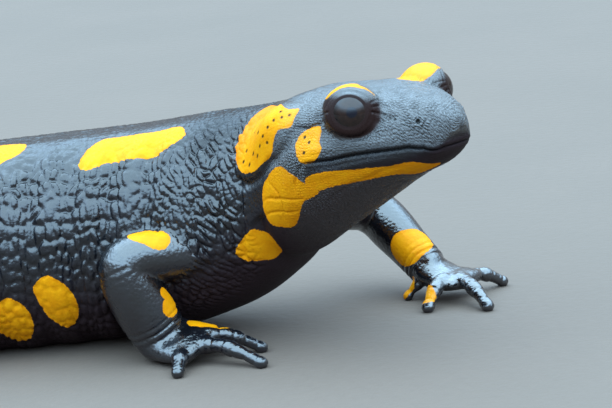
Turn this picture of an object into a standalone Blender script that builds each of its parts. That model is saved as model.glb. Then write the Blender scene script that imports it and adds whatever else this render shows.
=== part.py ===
"""Fire salamander, life size, lying on its belly with the head and chest raised on the forelegs.

The animal faces +X and its right side faces -Y. Head, neck, torso and tail are one long lofted body,
parted by thin gaps where a person would name its parts. The legs are tubes along bent paths, cut clear
of the body's flank, and each hand and foot is a palm fused with its digits. Sizes are in millimetres
until a mesh is written, and "behind the snout" is measured along the back, seen from above.
"""

from math import cos, pi, radians, sin

import bmesh
import bpy
import numpy as np
from mathutils import Vector

MM = 0.001
GAP = 0.3
EYE_GAP = 0.15

# Driving dimensions of the animal
SNOUT_TO_VENT = 100.0
TOTAL_LENGTH = 180.0
EYE_RADIUS = 2.05
COSTAL_GROOVES = 12

# Places along the body, behind the snout
EYE_AT = 8.2
MOUTH_CORNER_AT = 12.2
HEAD_END = 21.6
NECK_END = 25.0
SHOULDER_AT = 27.5
WAIST_AT = 60.0
HIP_AT = 89.0
TORSO_END = 97.0
TAIL_CUTS = (124.0, 152.0)

# Which way the body points, in degrees from +X, positive towards its left: behind the snout, heading
HEADINGS = [
    (0, -30), (12, -30), (20, -23), (SHOULDER_AT, -14), (36, -4), (47, 5), (60, 11), (78, 17),
    (92, 17), (108, 12), (128, 0), (146, -11), (164, -18), (TOTAL_LENGTH, -21),
]

# The body's own sections: behind the snout, half width, then the heights over the floor of the back,
# of the widest line and of the belly
SECTIONS = [
    (0, 3.8, 23.9, 20.9, 18.9),
    (2.5, 4.75, 24.4, 20.1, 18.0),
    (5.5, 6.3, 25.0, 19.7, 16.8),
    (EYE_AT, 7.4, 25.5, 19.2, 15.4),
    (MOUTH_CORNER_AT, 8.2, 25.2, 18.3, 12.9),
    (17, 8.5, 24.7, 16.9, 9.8),
    (HEAD_END, 8.0, 23.3, 14.4, 6.5),
    (NECK_END, 8.2, 22.7, 12.8, 4.0),
    (30, 9.6, 22.1, 11.4, 1.9),
    (37, 10.8, 21.2, 10.2, 0.3),
    (47, 11.5, 20.6, 9.4, -0.5),
    (WAIST_AT, 11.6, 20.0, 8.8, -0.6),
    (75, 10.9, 18.0, 8.0, -0.5),
    (HIP_AT, 9.0, 14.8, 7.0, -0.3),
    (TORSO_END, 6.6, 11.6, 5.6, -0.5),
    (104, 5.1, 10.0, 4.8, -0.7),
    (120, 4.2, 8.4, 3.9, -0.7),
    (140, 3.3, 6.6, 3.0, -0.5),
    (160, 2.3, 4.7, 2.1, -0.35),
    (174, 1.6, 3.4, 1.5, -0.25),
    (TOTAL_LENGTH, 1.3, 2.8, 1.3, -0.2),
]

# How far each outline takes to round off at the snout, and at the tip of the tail
SNOUT_TIP_HEIGHT = 22.0
ROUNDING = {"half_width": 6.0, "back": 3.2, "side": 1.2, "belly": 3.0}
CHIN_SETBACK = 0.6
TAIL_ROUNDING = 3.0

ROWS_PER_SIDE = {"head": 15, "torso": 12, "tail": 8}
RING_STEP = {"head": 1.0, "tail": 2.4}
RINGS_PER_GROOVE = 3
ROW_CROWDING = 1.3


def smooth_through(xs, ys, x):
    """A smooth curve through the points (xs, ys), read at x."""
    xs, ys = np.asarray(xs, float), np.asarray(ys, float)
    slopes = np.gradient(ys, xs)
    x = np.clip(x, xs[0], xs[-1])
    i = np.clip(np.searchsorted(xs, x, side="right") - 1, 0, len(xs) - 2)
    span = xs[i + 1] - xs[i]
    t = (x - xs[i]) / span
    start = ys[i] * (1 + 2 * t) * (1 - t) ** 2 + slopes[i] * span * t * (1 - t) ** 2
    end = ys[i + 1] * t * t * (3 - 2 * t) - slopes[i + 1] * span * t * t * (1 - t)
    return start + end


def bell(x, centre, width):
    """A smooth bump of height 1 round a centre."""
    return np.exp(-(((x - centre) / width) ** 2))


def rounded_end(distance, length):
    """Rises from 0 to 1 along a quarter of an ellipse, then stays at 1."""
    t = np.clip(distance / length, 0, 1)
    return np.sqrt(np.clip(1 - (1 - t) ** 2, 0, 1))


# The line of the back seen from above, from the snout at (0, 0) to the tip of the tail
BACK_STEP = 0.25
BACK = np.arange(0, TOTAL_LENGTH + BACK_STEP, BACK_STEP)
BACK_HEADING = np.radians(smooth_through(*zip(*HEADINGS), BACK))
BACK_X = -np.concatenate([[0], np.cumsum(np.cos(BACK_HEADING[:-1]) * BACK_STEP)])
BACK_Y = -np.concatenate([[0], np.cumsum(np.sin(BACK_HEADING[:-1]) * BACK_STEP)])


def place(behind, left, height):
    """The point at a distance behind the snout, to the left of the back's line, over the floor."""
    heading = np.interp(behind, BACK, BACK_HEADING)
    x = np.interp(behind, BACK, BACK_X) - left * np.sin(heading)
    y = np.interp(behind, BACK, BACK_Y) + left * np.cos(heading)
    return np.stack(np.broadcast_arrays(x, y, height), axis=-1)


def outline(behind):
    """Half width, and the heights of back, widest line and belly, at a distance behind the snout."""
    at, *columns = zip(*SECTIONS)
    half_width, back, side, belly = (smooth_through(at, column, behind) for column in columns)
    tail = rounded_end(TOTAL_LENGTH - behind, TAIL_ROUNDING)
    half_width = half_width * rounded_end(behind, ROUNDING["half_width"]) * tail
    back_round = rounded_end(behind, ROUNDING["back"])
    side_round = rounded_end(behind, ROUNDING["side"])
    belly_round = rounded_end(behind - CHIN_SETBACK, ROUNDING["belly"])
    back = SNOUT_TIP_HEIGHT + (back - SNOUT_TIP_HEIGHT) * back_round
    side = SNOUT_TIP_HEIGHT + (side - SNOUT_TIP_HEIGHT) * side_round
    belly = side + (belly - side) * belly_round
    return half_width, side + (back - side) * tail, side, side + (belly - side) * tail


# How far round the head from its widest line the mouth runs: behind the snout, degrees
MOUTH_ANGLES = ((0.9, -40.0), (2.0, -0.8), (3.0, 3.4), (7.5, 3.3), (9.5, 2.9), (MOUTH_CORNER_AT, 4.5))


def mouth_angle(behind):
    return np.interp(behind, *zip(*MOUTH_ANGLES))


def relief(behind, angle):
    """How far the skin stands out from the plain section. The angle is 0 on the widest line, 90 on the back."""
    up = np.abs(angle)
    # Each swelling or furrow: its height, then where it lies and how wide it is along and round the body
    gland = 1.6 * bell(behind, 18.0, 3.2) * bell(angle, 40, 18) + 0.2 * bell(behind, 18.2, 1.6) * bell(angle, 66, 14)
    brow = 0.5 * bell(behind, 10.5, 2.6) * bell(angle, 48, 14)
    cheek = 0.45 * bell(behind, 13.5, 3.0) * bell(angle, 8, 12)
    along_mouth = np.clip((behind - 1.5) / 4, 0, 1) * np.clip((MOUTH_CORNER_AT + 0.5 - behind) / 1.5, 0, 1)
    over_mouth = angle - mouth_angle(behind)
    lips = along_mouth * (0.22 * bell(over_mouth, 7, 5) + 0.16 * bell(over_mouth, -7, 5))
    throat_fold = -0.55 * bell(behind, 20.3, 0.9) * (angle < -12)
    shoulder = 0.9 * bell(behind, SHOULDER_AT + 1, 4.5) * bell(angle, -8, 30)
    hip = 0.8 * bell(behind, HIP_AT, 5) * bell(angle, 5, 34)
    vent = 0.7 * bell(behind, SNOUT_TO_VENT, 3) * bell(angle, -90, 40)
    spine_groove = -0.25 * bell(angle, 90, 9) * bell(behind, 58, 30)
    return gland + brow + cheek + lips + throat_fold + shoulder + hip + vent + spine_groove + ribs(behind, up)


FIRST_GROOVE = SHOULDER_AT + 6.5
LAST_GROOVE = HIP_AT - 5.0
GROOVE_SPACING = (LAST_GROOVE - FIRST_GROOVE) / (COSTAL_GROOVES - 1)


def ribs(behind, up):
    """The grooves down the flank between the legs, one for each rib, and fainter ones along the tail."""
    wave = (0.5 + 0.5 * np.cos(2 * pi * (behind - FIRST_GROOVE) / GROOVE_SPACING)) ** 1.5
    flank = np.clip((78 - up) / 25, 0, 1)
    within = np.clip((behind - FIRST_GROOVE + 3) / 3, 0, 1)
    fade = np.where(behind < LAST_GROOVE + 2, 1, 0.45 * np.clip((TOTAL_LENGTH - behind) / 60, 0, 1))
    return -0.5 * wave * flank * within * fade


def section(behind, angle, grow=0.0):
    """Points on the body's skin. Grow moves them outwards, for cutting what meets the body."""
    half_width, back, side, belly = outline(behind)
    on_head = np.clip((HEAD_END - behind) / 8, 0, 1)
    square_above = 2.1 + on_head * (0.35 * np.clip(behind / 8, 0, 1) + 0.1)
    square_below = 2.25 - 0.1 * on_head
    turn = np.radians(angle)
    power = 2 / np.where(angle > 0, square_above, square_below)
    out = np.abs(np.cos(turn)) ** power
    rise = np.sign(turn) * np.abs(np.sin(turn)) ** power
    full = np.clip(half_width / 4.0, 0, 1)
    extra = relief(behind, angle) * full + grow
    left = half_width * out + extra * np.cos(turn)
    height = side + np.where(angle > 0, back - side, side - belly) * rise + extra * np.sin(turn)
    return left, np.maximum(height, -grow)


def ring_angles(part):
    """Angles down one side from the back to the belly, crowded near the widest line."""
    steps = np.linspace(1, -1, ROWS_PER_SIDE[part] + 1)
    return 90 * np.sign(steps) * np.abs(steps) ** ROW_CROWDING


def new_object(name, bm):
    """An object of this closed mesh, in metres, with its faces pointing out."""
    bmesh.ops.recalc_face_normals(bm, faces=bm.faces)
    bmesh.ops.scale(bm, vec=(MM, MM, MM), verts=bm.verts)
    mesh = bpy.data.meshes.new(name)
    bm.to_mesh(mesh)
    bm.free()
    obj = bpy.data.objects.new(name, mesh)
    bpy.context.scene.collection.objects.link(obj)
    return obj


def loft(name, rings):
    """A closed object through rings of points. A ring of one point closes its end, any other end gets a flat cap."""
    bm = bmesh.new()
    loops = [[bm.verts.new(point) for point in ring] for ring in rings]
    for near, far in zip(loops, loops[1:]):
        count = max(len(near), len(far))
        for k in range(count):
            corners = [near[k % len(near)], near[(k + 1) % len(near)], far[(k + 1) % len(far)], far[k % len(far)]]
            bm.faces.new(list(dict.fromkeys(corners)))
    for end in (loops[0], loops[-1]):
        if len(end) > 1:
            bm.faces.new(end)
    return new_object(name, bm)


def stations(start, end, part):
    """Where the rings lie: at even steps, three to a groove on the torso, and closer at a rounded end."""
    if part == "torso":
        step = GROOVE_SPACING / RINGS_PER_GROOVE
        first = FIRST_GROOVE + np.ceil((start + step / 2 - FIRST_GROOVE) / step) * step
        return [start, *np.arange(first, end - step / 2, step), end]
    step = RING_STEP[part]
    places = list(np.linspace(start, end, max(2, round((end - start) / step)) + 1))
    if start == 0:
        length = ROUNDING["half_width"]
        tip = [length * (1 - cos(k / 7 * pi / 2)) for k in range(1, 8)]
        places = [0] + tip + [s for s in places if s > length + step / 2]
    if end == TOTAL_LENGTH:
        tip = [end - TAIL_ROUNDING * (1 - sin(k / 4 * pi / 2)) for k in range(4)]
        places = [s for s in places if s < tip[0] - step / 2] + tip + [end]
    return places


def body_rings(start, end, part, grow=0.0):
    """Rings round the body from one distance behind the snout to another, closing at the snout and the tail's tip."""
    angles = ring_angles(part)
    rings = []
    for behind in stations(start, end, part):
        if behind in (0, TOTAL_LENGTH):
            rings.append([place(behind, 0.0, outline(behind)[2])])
            continue
        left, height = section(behind, angles, grow)
        left[[0, -1]] = 0.0
        one_side = place(behind, left, height)
        other_side = place(behind, -left[-2:0:-1], height[-2:0:-1])
        rings.append(np.concatenate([one_side, other_side]))
    return rings


def ellipsoid(name, centre, radii, axis=(0, 0, 1), segments=24, rings=14):
    """A ball with three radii, the last one along the axis."""
    bm = bmesh.new()
    bmesh.ops.create_uvsphere(bm, u_segments=segments, v_segments=rings, radius=1.0)
    bmesh.ops.scale(bm, vec=radii, verts=bm.verts)
    turn = Vector(axis).to_track_quat("Z", "Y").to_matrix()
    bmesh.ops.rotate(bm, matrix=turn, verts=bm.verts)
    bmesh.ops.translate(bm, vec=Vector(centre), verts=bm.verts)
    return new_object(name, bm)


def evaluated_mesh(obj):
    bpy.context.view_layer.update()
    graph = bpy.context.evaluated_depsgraph_get()
    return bpy.data.meshes.new_from_object(obj.evaluated_get(graph))


def apply_boolean(obj, others, operation, solver="MANIFOLD"):
    """Joins other closed objects to this one, or cuts them from it, and removes them."""
    tools = bpy.data.collections.new("boolean_tools")
    bpy.context.scene.collection.children.link(tools)
    for other in others:
        tools.objects.link(other)
        other.hide_render = True
        other.display_type = "WIRE"
    modifier = obj.modifiers.new("combine", "BOOLEAN")
    modifier.operation = operation
    modifier.solver = solver
    modifier.operand_type = "COLLECTION"
    modifier.collection = tools
    made = evaluated_mesh(obj)
    obj.modifiers.remove(modifier)
    obj.data = made
    for other in others:
        bpy.data.objects.remove(other)
    bpy.data.collections.remove(tools)
    keep_largest(obj)


def keep_largest(obj):
    """Drops every closed surface of the object but its largest."""
    bm = bmesh.new()
    bm.from_mesh(obj.data)
    unseen = set(bm.verts)
    islands = []
    while unseen:
        island, front = set(), [unseen.pop()]
        while front:
            vert = front.pop()
            island.add(vert)
            near = {edge.other_vert(vert) for edge in vert.link_edges} & unseen
            unseen -= near
            front.extend(near)
        islands.append(island)
    islands.sort(key=len)
    bmesh.ops.delete(bm, geom=[vert for island in islands[:-1] for vert in island], context="VERTS")
    bm.to_mesh(obj.data)
    bm.free()


# The head: lids round each eye, a pit for the eyeball, nostrils, and the jaw parted along the mouth
EYE_OUT = 5.9
EYE_OVER_SIDE = 4.5
EYE_LOOKS = (0.55, 0.8, 0.25)
LID_RADII = (2.9, 2.8, 2.8)
LID_INSET = 0.6
EYE_OPENING = (1.65, 1.42)
NOSTRIL_AT, NOSTRIL_OUT, NOSTRIL_OVER_SIDE = 2.5, 3.2, 2.8
NOSTRIL_RADIUS = 0.42
JAW_BACK_SLOPE = 0.5


def side_height(behind):
    return outline(behind)[2]


def mouth_height(behind):
    return section(behind, mouth_angle(behind))[1]


def eye_axes(side):
    """The eye's centre and the way it looks. Side is 1 on the left and -1 on the right."""
    centre = place(EYE_AT, side * EYE_OUT, side_height(EYE_AT) + EYE_OVER_SIDE)
    forward, out, up = EYE_LOOKS
    heading = np.interp(EYE_AT, BACK, BACK_HEADING)
    ahead = np.array([cos(heading), sin(heading), 0])
    leftward = np.array([-sin(heading), cos(heading), 0])
    gaze = forward * ahead + side * out * leftward + np.array([0, 0, up])
    return centre, gaze / np.linalg.norm(gaze)


def jaw_block(name, gap):
    """The space of the lower jaw: under the line of the mouth and ahead of its corner. A gap makes it larger."""
    stations = np.linspace(-2, MOUTH_CORNER_AT + gap, 14)
    tops = mouth_height(np.maximum(stations, 0.9)) + gap
    reach = 14.0
    floor = 2.0
    back = MOUTH_CORNER_AT + gap + JAW_BACK_SLOPE * (tops[-1] - floor)
    edge = [(s, z) for s, z in zip(stations, tops)] + [(back, floor), (-2, floor)]
    heading = np.interp(EYE_AT, BACK, BACK_HEADING)
    ahead = np.array([cos(heading), sin(heading)])
    across = np.array([-sin(heading), cos(heading)])
    rings = []
    for side in (-reach, reach):
        rings.append([(*(-s * ahead + side * across), z) for s, z in edge])
    return loft(name, rings)


def eye_opening(centre, gaze):
    """An oval bar along the gaze, which opens the lids in front of the eyeball."""
    path = [centre + gaze * 0.3, centre + gaze * 6.0]
    wide, high = EYE_OPENING
    return loft("opening", tube_rings(np.array(path), (wide, wide), (high, high), 24, round_end=False))


def head():
    skull = loft("head", body_rings(0, HEAD_END - GAP / 2, "head"))
    lids, eyeballs, pits = [], [], []
    room = [EYE_RADIUS + EYE_GAP] * 3
    for side, word in ((1, "left"), (-1, "right")):
        centre, gaze = eye_axes(side)
        lids.append(ellipsoid("lid", centre - LID_INSET * gaze, LID_RADII, gaze))
        nostril = place(NOSTRIL_AT, side * NOSTRIL_OUT, side_height(NOSTRIL_AT) + NOSTRIL_OVER_SIDE)
        pits.append(ellipsoid("nostril", nostril, [NOSTRIL_RADIUS] * 3, gaze, 10, 6))
        pits.append(ellipsoid("eye_room", centre, room, gaze, 28, 16))
        pits.append(eye_opening(centre, gaze))
        eyeballs.append(ellipsoid("eye_" + word, centre, [EYE_RADIUS] * 3, gaze, 20, 12))
    apply_boolean(skull, lids, "UNION")
    apply_boolean(skull, pits, "DIFFERENCE")
    jaw = skull.copy()
    jaw.data = skull.data.copy()
    jaw.name = jaw.data.name = "lower_jaw"
    bpy.context.scene.collection.objects.link(jaw)
    apply_boolean(jaw, [jaw_block("jaw_room", 0.0)], "INTERSECT")
    apply_boolean(skull, [jaw_block("jaw_cut", GAP)], "DIFFERENCE")
    return [skull, jaw] + eyeballs


def trunk_and_tail():
    """Neck, torso and tail, in lengths parted by thin gaps."""
    lengths = [("neck", "head", NECK_END), ("torso_front", "torso", WAIST_AT), ("torso_rear", "torso", TORSO_END)]
    lengths += [("tail_base", "tail", TAIL_CUTS[0]), ("tail_middle", "tail", TAIL_CUTS[1])]
    lengths += [("tail_tip", "tail", TOTAL_LENGTH)]
    start = HEAD_END
    made = []
    for name, part, end in lengths:
        shy = 0 if end == TOTAL_LENGTH else GAP / 2
        made.append(loft(name, body_rings(start + GAP / 2, end - shy, part)))
        start = end
    return made


def unit(vector):
    return vector / np.linalg.norm(vector)


def bent_path(corners, bend, step=1.1):
    """Points along a path through corners, with each inner corner rounded off over the distance bend."""
    corners = [np.asarray(c, float) for c in corners]
    points = [corners[0]]
    for before, corner, after in zip(corners, corners[1:], corners[2:]):
        start = corner + bend * unit(before - corner)
        end = corner + bend * unit(after - corner)
        for t in np.linspace(0, 1, 9):
            points.append((1 - t) ** 2 * start + 2 * t * (1 - t) * corner + t * t * end)
    points.append(corners[-1])
    points = np.array(points)
    travelled = np.concatenate([[0], np.cumsum(np.linalg.norm(np.diff(points, axis=0), axis=1))])
    count = max(3, round(travelled[-1] / step) + 1)
    along = np.linspace(0, travelled[-1], count)
    return np.stack([np.interp(along, travelled, points[:, k]) for k in range(3)], axis=-1), along


def tube_rings(path, half_widths, half_heights, around, up=(0, 0, 1), round_end=True):
    """Rings along a path. The frame is carried along without twist, and the far end can close in a round tip."""
    ahead = np.gradient(path, axis=0)
    frame_up = np.asarray(up, float)
    turns = np.linspace(0, 2 * pi, around, endpoint=False)
    rings = []
    for point, direction, width, height in zip(path, ahead, half_widths, half_heights):
        direction = unit(direction)
        frame_up = unit(frame_up - direction * (frame_up @ direction))
        side = np.cross(direction, frame_up)
        spread = np.outer(np.cos(turns) * width, side) + np.outer(np.sin(turns) * height, frame_up)
        rings.append(point + spread)
    if round_end:
        tip = unit(ahead[-1])
        centre = path[-1]
        last = rings[-1] - centre
        radius = min(half_widths[-1], half_heights[-1])
        for lift in (pi / 6, pi / 3):
            rings.append(centre + last * cos(lift) + tip * radius * sin(lift))
        rings.append([centre + tip * radius])
    return rings


# Legs. Every point is ahead of, out from and above the spot on the floor under the shoulders or hips.
# Each digit has its direction, in degrees from straight ahead towards the outside, and its length. The radii of
# the lower leg are listed from the wrist or ankle up. A palm's tilt turns its back towards the outside, in degrees.
LEGS = {
    "front_right": {
        "hub": SHOULDER_AT, "side": -1,
        "root": (0.5, 5.0, 9.8), "knee": (-6.9, 13.9, 10.4), "ankle": (-4.5, 11.4, 3.0),
        "palm": (-1.3, 11.9, 1.9), "digits": ((-105, 2.6), (-33, 5.2), (8, 6.6), (72, 3.6)),
        "lower_radii": (2.95, 3.1, 2.95, 2.6), "palm_half_width": 3.2, "palm_tilt": 22,
    },
    "front_left": {
        "hub": SHOULDER_AT, "side": 1,
        "root": (0.5, 5.0, 11.6), "knee": (6.0, 17.9, 8.4), "ankle": (13.2, 14.4, 2.9),
        "palm": (16.0, 13.8, 1.9), "digits": ((-159, 2.4), (-92, 4.0), (-41, 5.6), (52, 3.8)),
        "lower_radii": (2.2, 2.35, 2.6, 2.6), "palm_half_width": 3.1, "palm_tilt": 8,
    },
    "hind_right": {
        "hub": HIP_AT, "side": -1,
        "root": (0.0, 3.5, 7.4), "knee": (8.6, 13.4, 7.4), "ankle": (1.6, 18.4, 2.8),
        "palm": (2.6, 21.6, 0.9), "digits": ((-22, 2.6), (8, 4.0), (38, 5.0), (68, 4.6), (98, 3.0)),
        "lower_radii": (1.95, 2.25, 2.65, 2.6), "palm_half_width": 3.0, "palm_tilt": 0,
    },
    "hind_left": {
        "hub": HIP_AT, "side": 1,
        "root": (0.0, 3.5, 7.4), "knee": (-1.0, 15.4, 7.0), "ankle": (-9.2, 16.0, 2.8),
        "palm": (-11.4, 18.4, 0.9), "digits": ((12, 2.6), (42, 4.0), (72, 5.0), (102, 4.6), (132, 3.0)),
        "lower_radii": (1.95, 2.25, 2.65, 2.6), "palm_half_width": 3.0, "palm_tilt": 0,
    },
}
LEG_WORDS = {"front": ("upper_arm", "forearm", "hand"), "hind": ("thigh", "shank", "foot")}
UPPER_RADII = (2.7, 2.75, 2.7, 2.6)
FLATTENED = 0.94
PALM_FRONT_HALF_HEIGHT = 0.85
DIGIT_RADIUS = 0.92
DIGIT_TIP_HEIGHT = 0.45
DIGIT_ARCH = ((0.0, 0.0), (0.35, 0.55), (0.7, 0.4), (1.0, 0.0))
KNUCKLE_FROM_PALM = 2.1


def leg_point(leg, name):
    """A named point of the leg, in the body's own place."""
    ahead, out, up = leg[name]
    return place(leg["hub"], 0, 0) + turned(leg, ahead, out, up)


def turned(leg, ahead, out, up):
    heading = np.interp(leg["hub"], BACK, BACK_HEADING)
    out *= leg["side"]
    return np.array([ahead * cos(heading) - out * sin(heading), ahead * sin(heading) + out * cos(heading), up])


def flank_cutter(hub):
    """The body near a leg, grown by the gap, which cuts the leg's root to meet the flank."""
    return loft("flank", body_rings(hub - 22, hub + 22, "torso", grow=GAP))


def half_space(point, away):
    """A large block with one face through the point, on the side that away points to."""
    size = 400.0
    bm = bmesh.new()
    bmesh.ops.create_cube(bm, size=size)
    turn = Vector(away).to_track_quat("Z", "Y").to_matrix()
    bmesh.ops.rotate(bm, matrix=turn, verts=bm.verts)
    bmesh.ops.translate(bm, vec=Vector(point + unit(np.asarray(away, float)) * size / 2), verts=bm.verts)
    return new_object("half_space", bm)


def straight_tube(name, start, end, radii):
    """A straight tube with the radii at even steps along it, and a round end."""
    share = np.linspace(0, 1, 9)
    path = start + np.outer(share, end - start)
    radius = np.interp(share, np.linspace(0, 1, len(radii)), radii)
    return loft(name, tube_rings(path, radius, radius * FLATTENED, 16))


def limb(kind, leg):
    """Upper and lower length of one leg, parted through the bend, ending at the flank and at the wrist or ankle."""
    upper_word, lower_word, _ = LEG_WORDS[kind.split("_")[0]]
    side_word = kind.split("_")[1]
    root, knee, ankle = (leg_point(leg, name) for name in ("root", "knee", "ankle"))
    down_upper, down_lower = unit(knee - root), unit(ankle - knee)
    across = unit(down_upper + down_lower) * GAP / 2
    upper = straight_tube(f"{upper_word}_{side_word}", root, knee, UPPER_RADII)
    lower = straight_tube(f"{lower_word}_{side_word}", ankle, knee, leg["lower_radii"])
    apply_boolean(upper, [half_space(knee - across, across), flank_cutter(leg["hub"])], "DIFFERENCE")
    wrist_cut = half_space(ankle - down_lower * GAP / 2, down_lower)
    apply_boolean(lower, [half_space(knee + across, -across), wrist_cut, flank_cutter(leg["hub"])], "DIFFERENCE")
    return [upper, lower]


def digit_paths(leg):
    """Where each digit runs: from inside the palm, over a low arch, to its tip on the floor."""
    middle = leg_point(leg, "palm")
    for toward, length in leg["digits"]:
        direction = turned(leg, cos(radians(toward)), sin(radians(toward)), 0)
        knuckle = middle + direction * KNUCKLE_FROM_PALM
        knuckle[2] -= KNUCKLE_FROM_PALM * sin(radians(toward)) * sin(radians(leg["palm_tilt"]))
        corners = []
        for far, arch in DIGIT_ARCH:
            corner = knuckle + direction * length * far
            corner[2] = knuckle[2] * (1 - far) + DIGIT_TIP_HEIGHT * far + arch
            corners.append(corner)
        yield corners


def hand(kind, leg):
    """A palm from the wrist to the knuckles with its digits, flat where it meets the floor."""
    word = LEG_WORDS[kind.split("_")[0]][2]
    side_word = kind.split("_")[1]
    wrist, palm = leg_point(leg, "ankle"), leg_point(leg, "palm")
    knee = leg_point(leg, "knee")
    ahead = unit((palm - wrist) * (1, 1, 0))
    down_arm = unit(wrist - knee)
    path, along = bent_path([wrist - down_arm, wrist + down_arm, palm, palm + ahead * 1.7], 1.0, 0.8)
    share = along / along[-1]
    ankle_radius = leg["lower_radii"][0]
    widths = ankle_radius + (leg["palm_half_width"] - ankle_radius) * np.sin(share * pi / 2) ** 1.6
    ankle_height = ankle_radius * FLATTENED
    heights = ankle_height + (PALM_FRONT_HALF_HEIGHT - ankle_height) * share
    tilt = radians(leg["palm_tilt"])
    back_faces = turned(leg, 0, sin(tilt), cos(tilt))
    made = loft(f"{word}_{side_word}", tube_rings(path, widths, heights, 16, back_faces))
    digits = []
    for corners in digit_paths(leg):
        digit_path, reach = bent_path(corners, 0.5, 1.0)
        swell = 1 - 0.32 * reach / reach[-1] + 0.08 * np.cos(reach / reach[-1] * 4 * pi)
        digits.append(loft("digit", tube_rings(digit_path, swell * DIGIT_RADIUS, swell * DIGIT_RADIUS * 0.9, 8)))
    apply_boolean(made, digits, "UNION")
    apply_boolean(made, [half_space(np.zeros(3), (0, 0, -1))], "DIFFERENCE")
    apply_boolean(made, [half_space(wrist + down_arm * GAP / 2, -down_arm)], "DIFFERENCE")
    return made


def skin_material(name, colour, roughness):
    material = bpy.data.materials.new(name)
    material.use_nodes = True
    shader = material.node_tree.nodes["Principled BSDF"]
    shader.inputs["Base Color"].default_value = (*colour, 1)
    shader.inputs["Roughness"].default_value = roughness
    shader.inputs["Metallic"].default_value = 0.0
    return material


def paint(objects):
    """Black, damp skin on every node, and a glossy dark brown on the eyes."""
    skin = skin_material("skin", (0.012, 0.013, 0.016), 0.35)
    eye = skin_material("eye", (0.012, 0.007, 0.005), 0.05)
    for obj in objects:
        obj.data.materials.clear()
        obj.data.materials.append(eye if obj.name.startswith("eye") else skin)
        obj.data.shade_smooth()


def stand_on_origin(objects):
    """Moves the meshes so that the middle of their box is over the origin, with the floor at 0."""
    points = np.array([v.co for obj in objects for v in obj.data.vertices])
    middle = (points.min(0) + points.max(0)) / 2
    for obj in objects:
        bm = bmesh.new()
        bm.from_mesh(obj.data)
        bmesh.ops.translate(bm, vec=(-middle[0], -middle[1], 0), verts=bm.verts)
        bm.to_mesh(obj.data)
        bm.free()


def main():
    for obj in list(bpy.data.objects):
        bpy.data.objects.remove(obj)
    nodes = head() + trunk_and_tail()
    for kind, leg in LEGS.items():
        nodes += limb(kind, leg) + [hand(kind, leg)]
    stand_on_origin(nodes)
    paint(nodes)


main()
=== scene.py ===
"""Fire salamander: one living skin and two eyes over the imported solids, on a pale floor under soft light.

Sizes are in millimetres until a mesh is written. "Behind" is a distance behind the snout along the back,
seen from above, and an angle round the body is 0 on its widest line, 90 on the back and -90 on the belly.
"""

from math import cos, pi, radians, sin

import bmesh
import bpy
import numpy as np
from mathutils import Matrix, Vector


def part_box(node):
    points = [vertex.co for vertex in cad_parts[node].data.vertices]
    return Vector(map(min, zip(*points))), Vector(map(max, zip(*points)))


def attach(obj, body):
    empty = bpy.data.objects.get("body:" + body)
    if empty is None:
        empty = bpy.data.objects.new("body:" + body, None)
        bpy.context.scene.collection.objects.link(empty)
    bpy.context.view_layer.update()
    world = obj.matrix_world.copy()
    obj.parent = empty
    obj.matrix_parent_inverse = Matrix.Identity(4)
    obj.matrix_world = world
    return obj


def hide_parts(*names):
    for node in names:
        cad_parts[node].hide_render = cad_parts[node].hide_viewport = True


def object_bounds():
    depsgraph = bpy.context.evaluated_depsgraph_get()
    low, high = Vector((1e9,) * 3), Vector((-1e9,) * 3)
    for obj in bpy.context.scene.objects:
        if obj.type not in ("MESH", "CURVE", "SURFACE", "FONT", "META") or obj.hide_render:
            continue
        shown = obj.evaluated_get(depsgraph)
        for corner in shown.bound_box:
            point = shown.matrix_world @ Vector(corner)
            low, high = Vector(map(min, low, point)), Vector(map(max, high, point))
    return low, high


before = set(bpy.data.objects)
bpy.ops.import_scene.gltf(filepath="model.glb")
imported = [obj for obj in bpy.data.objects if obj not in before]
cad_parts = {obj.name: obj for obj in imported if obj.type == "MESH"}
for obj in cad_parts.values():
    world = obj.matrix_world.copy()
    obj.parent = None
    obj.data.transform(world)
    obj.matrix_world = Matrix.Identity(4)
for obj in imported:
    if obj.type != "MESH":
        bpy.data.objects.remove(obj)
CAD_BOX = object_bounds()

MM = 0.001
# The skin's mesh: the size of its faces, how far behind the snout they are parted once and once more,
# and how far inside the solids' box the skin stays
VOXEL = 0.20
FINE_UP_TO = (33.0, 14.5)
BOX_MARGIN = 0.01

# Driving dimensions of the animal
SNOUT_TO_VENT = 100.0
TOTAL_LENGTH = 180.0
EYE_RADIUS = 2.05
COSTAL_GROOVES = 12

# Places along the body, behind the snout
EYE_AT = 8.2
MOUTH_CORNER_AT = 12.2
HEAD_END = 21.6
NECK_END = 25.0
SHOULDER_AT = 27.5
WAIST_AT = 60.0
HIP_AT = 89.0
TORSO_END = 97.0

# Which way the body points, in degrees from +X, positive towards its left: behind the snout, heading
HEADINGS = [
    (0, -30), (12, -30), (20, -23), (SHOULDER_AT, -14), (36, -4), (47, 5), (60, 11), (78, 17),
    (92, 17), (108, 12), (128, 0), (146, -11), (164, -18), (TOTAL_LENGTH, -21),
]

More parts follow.
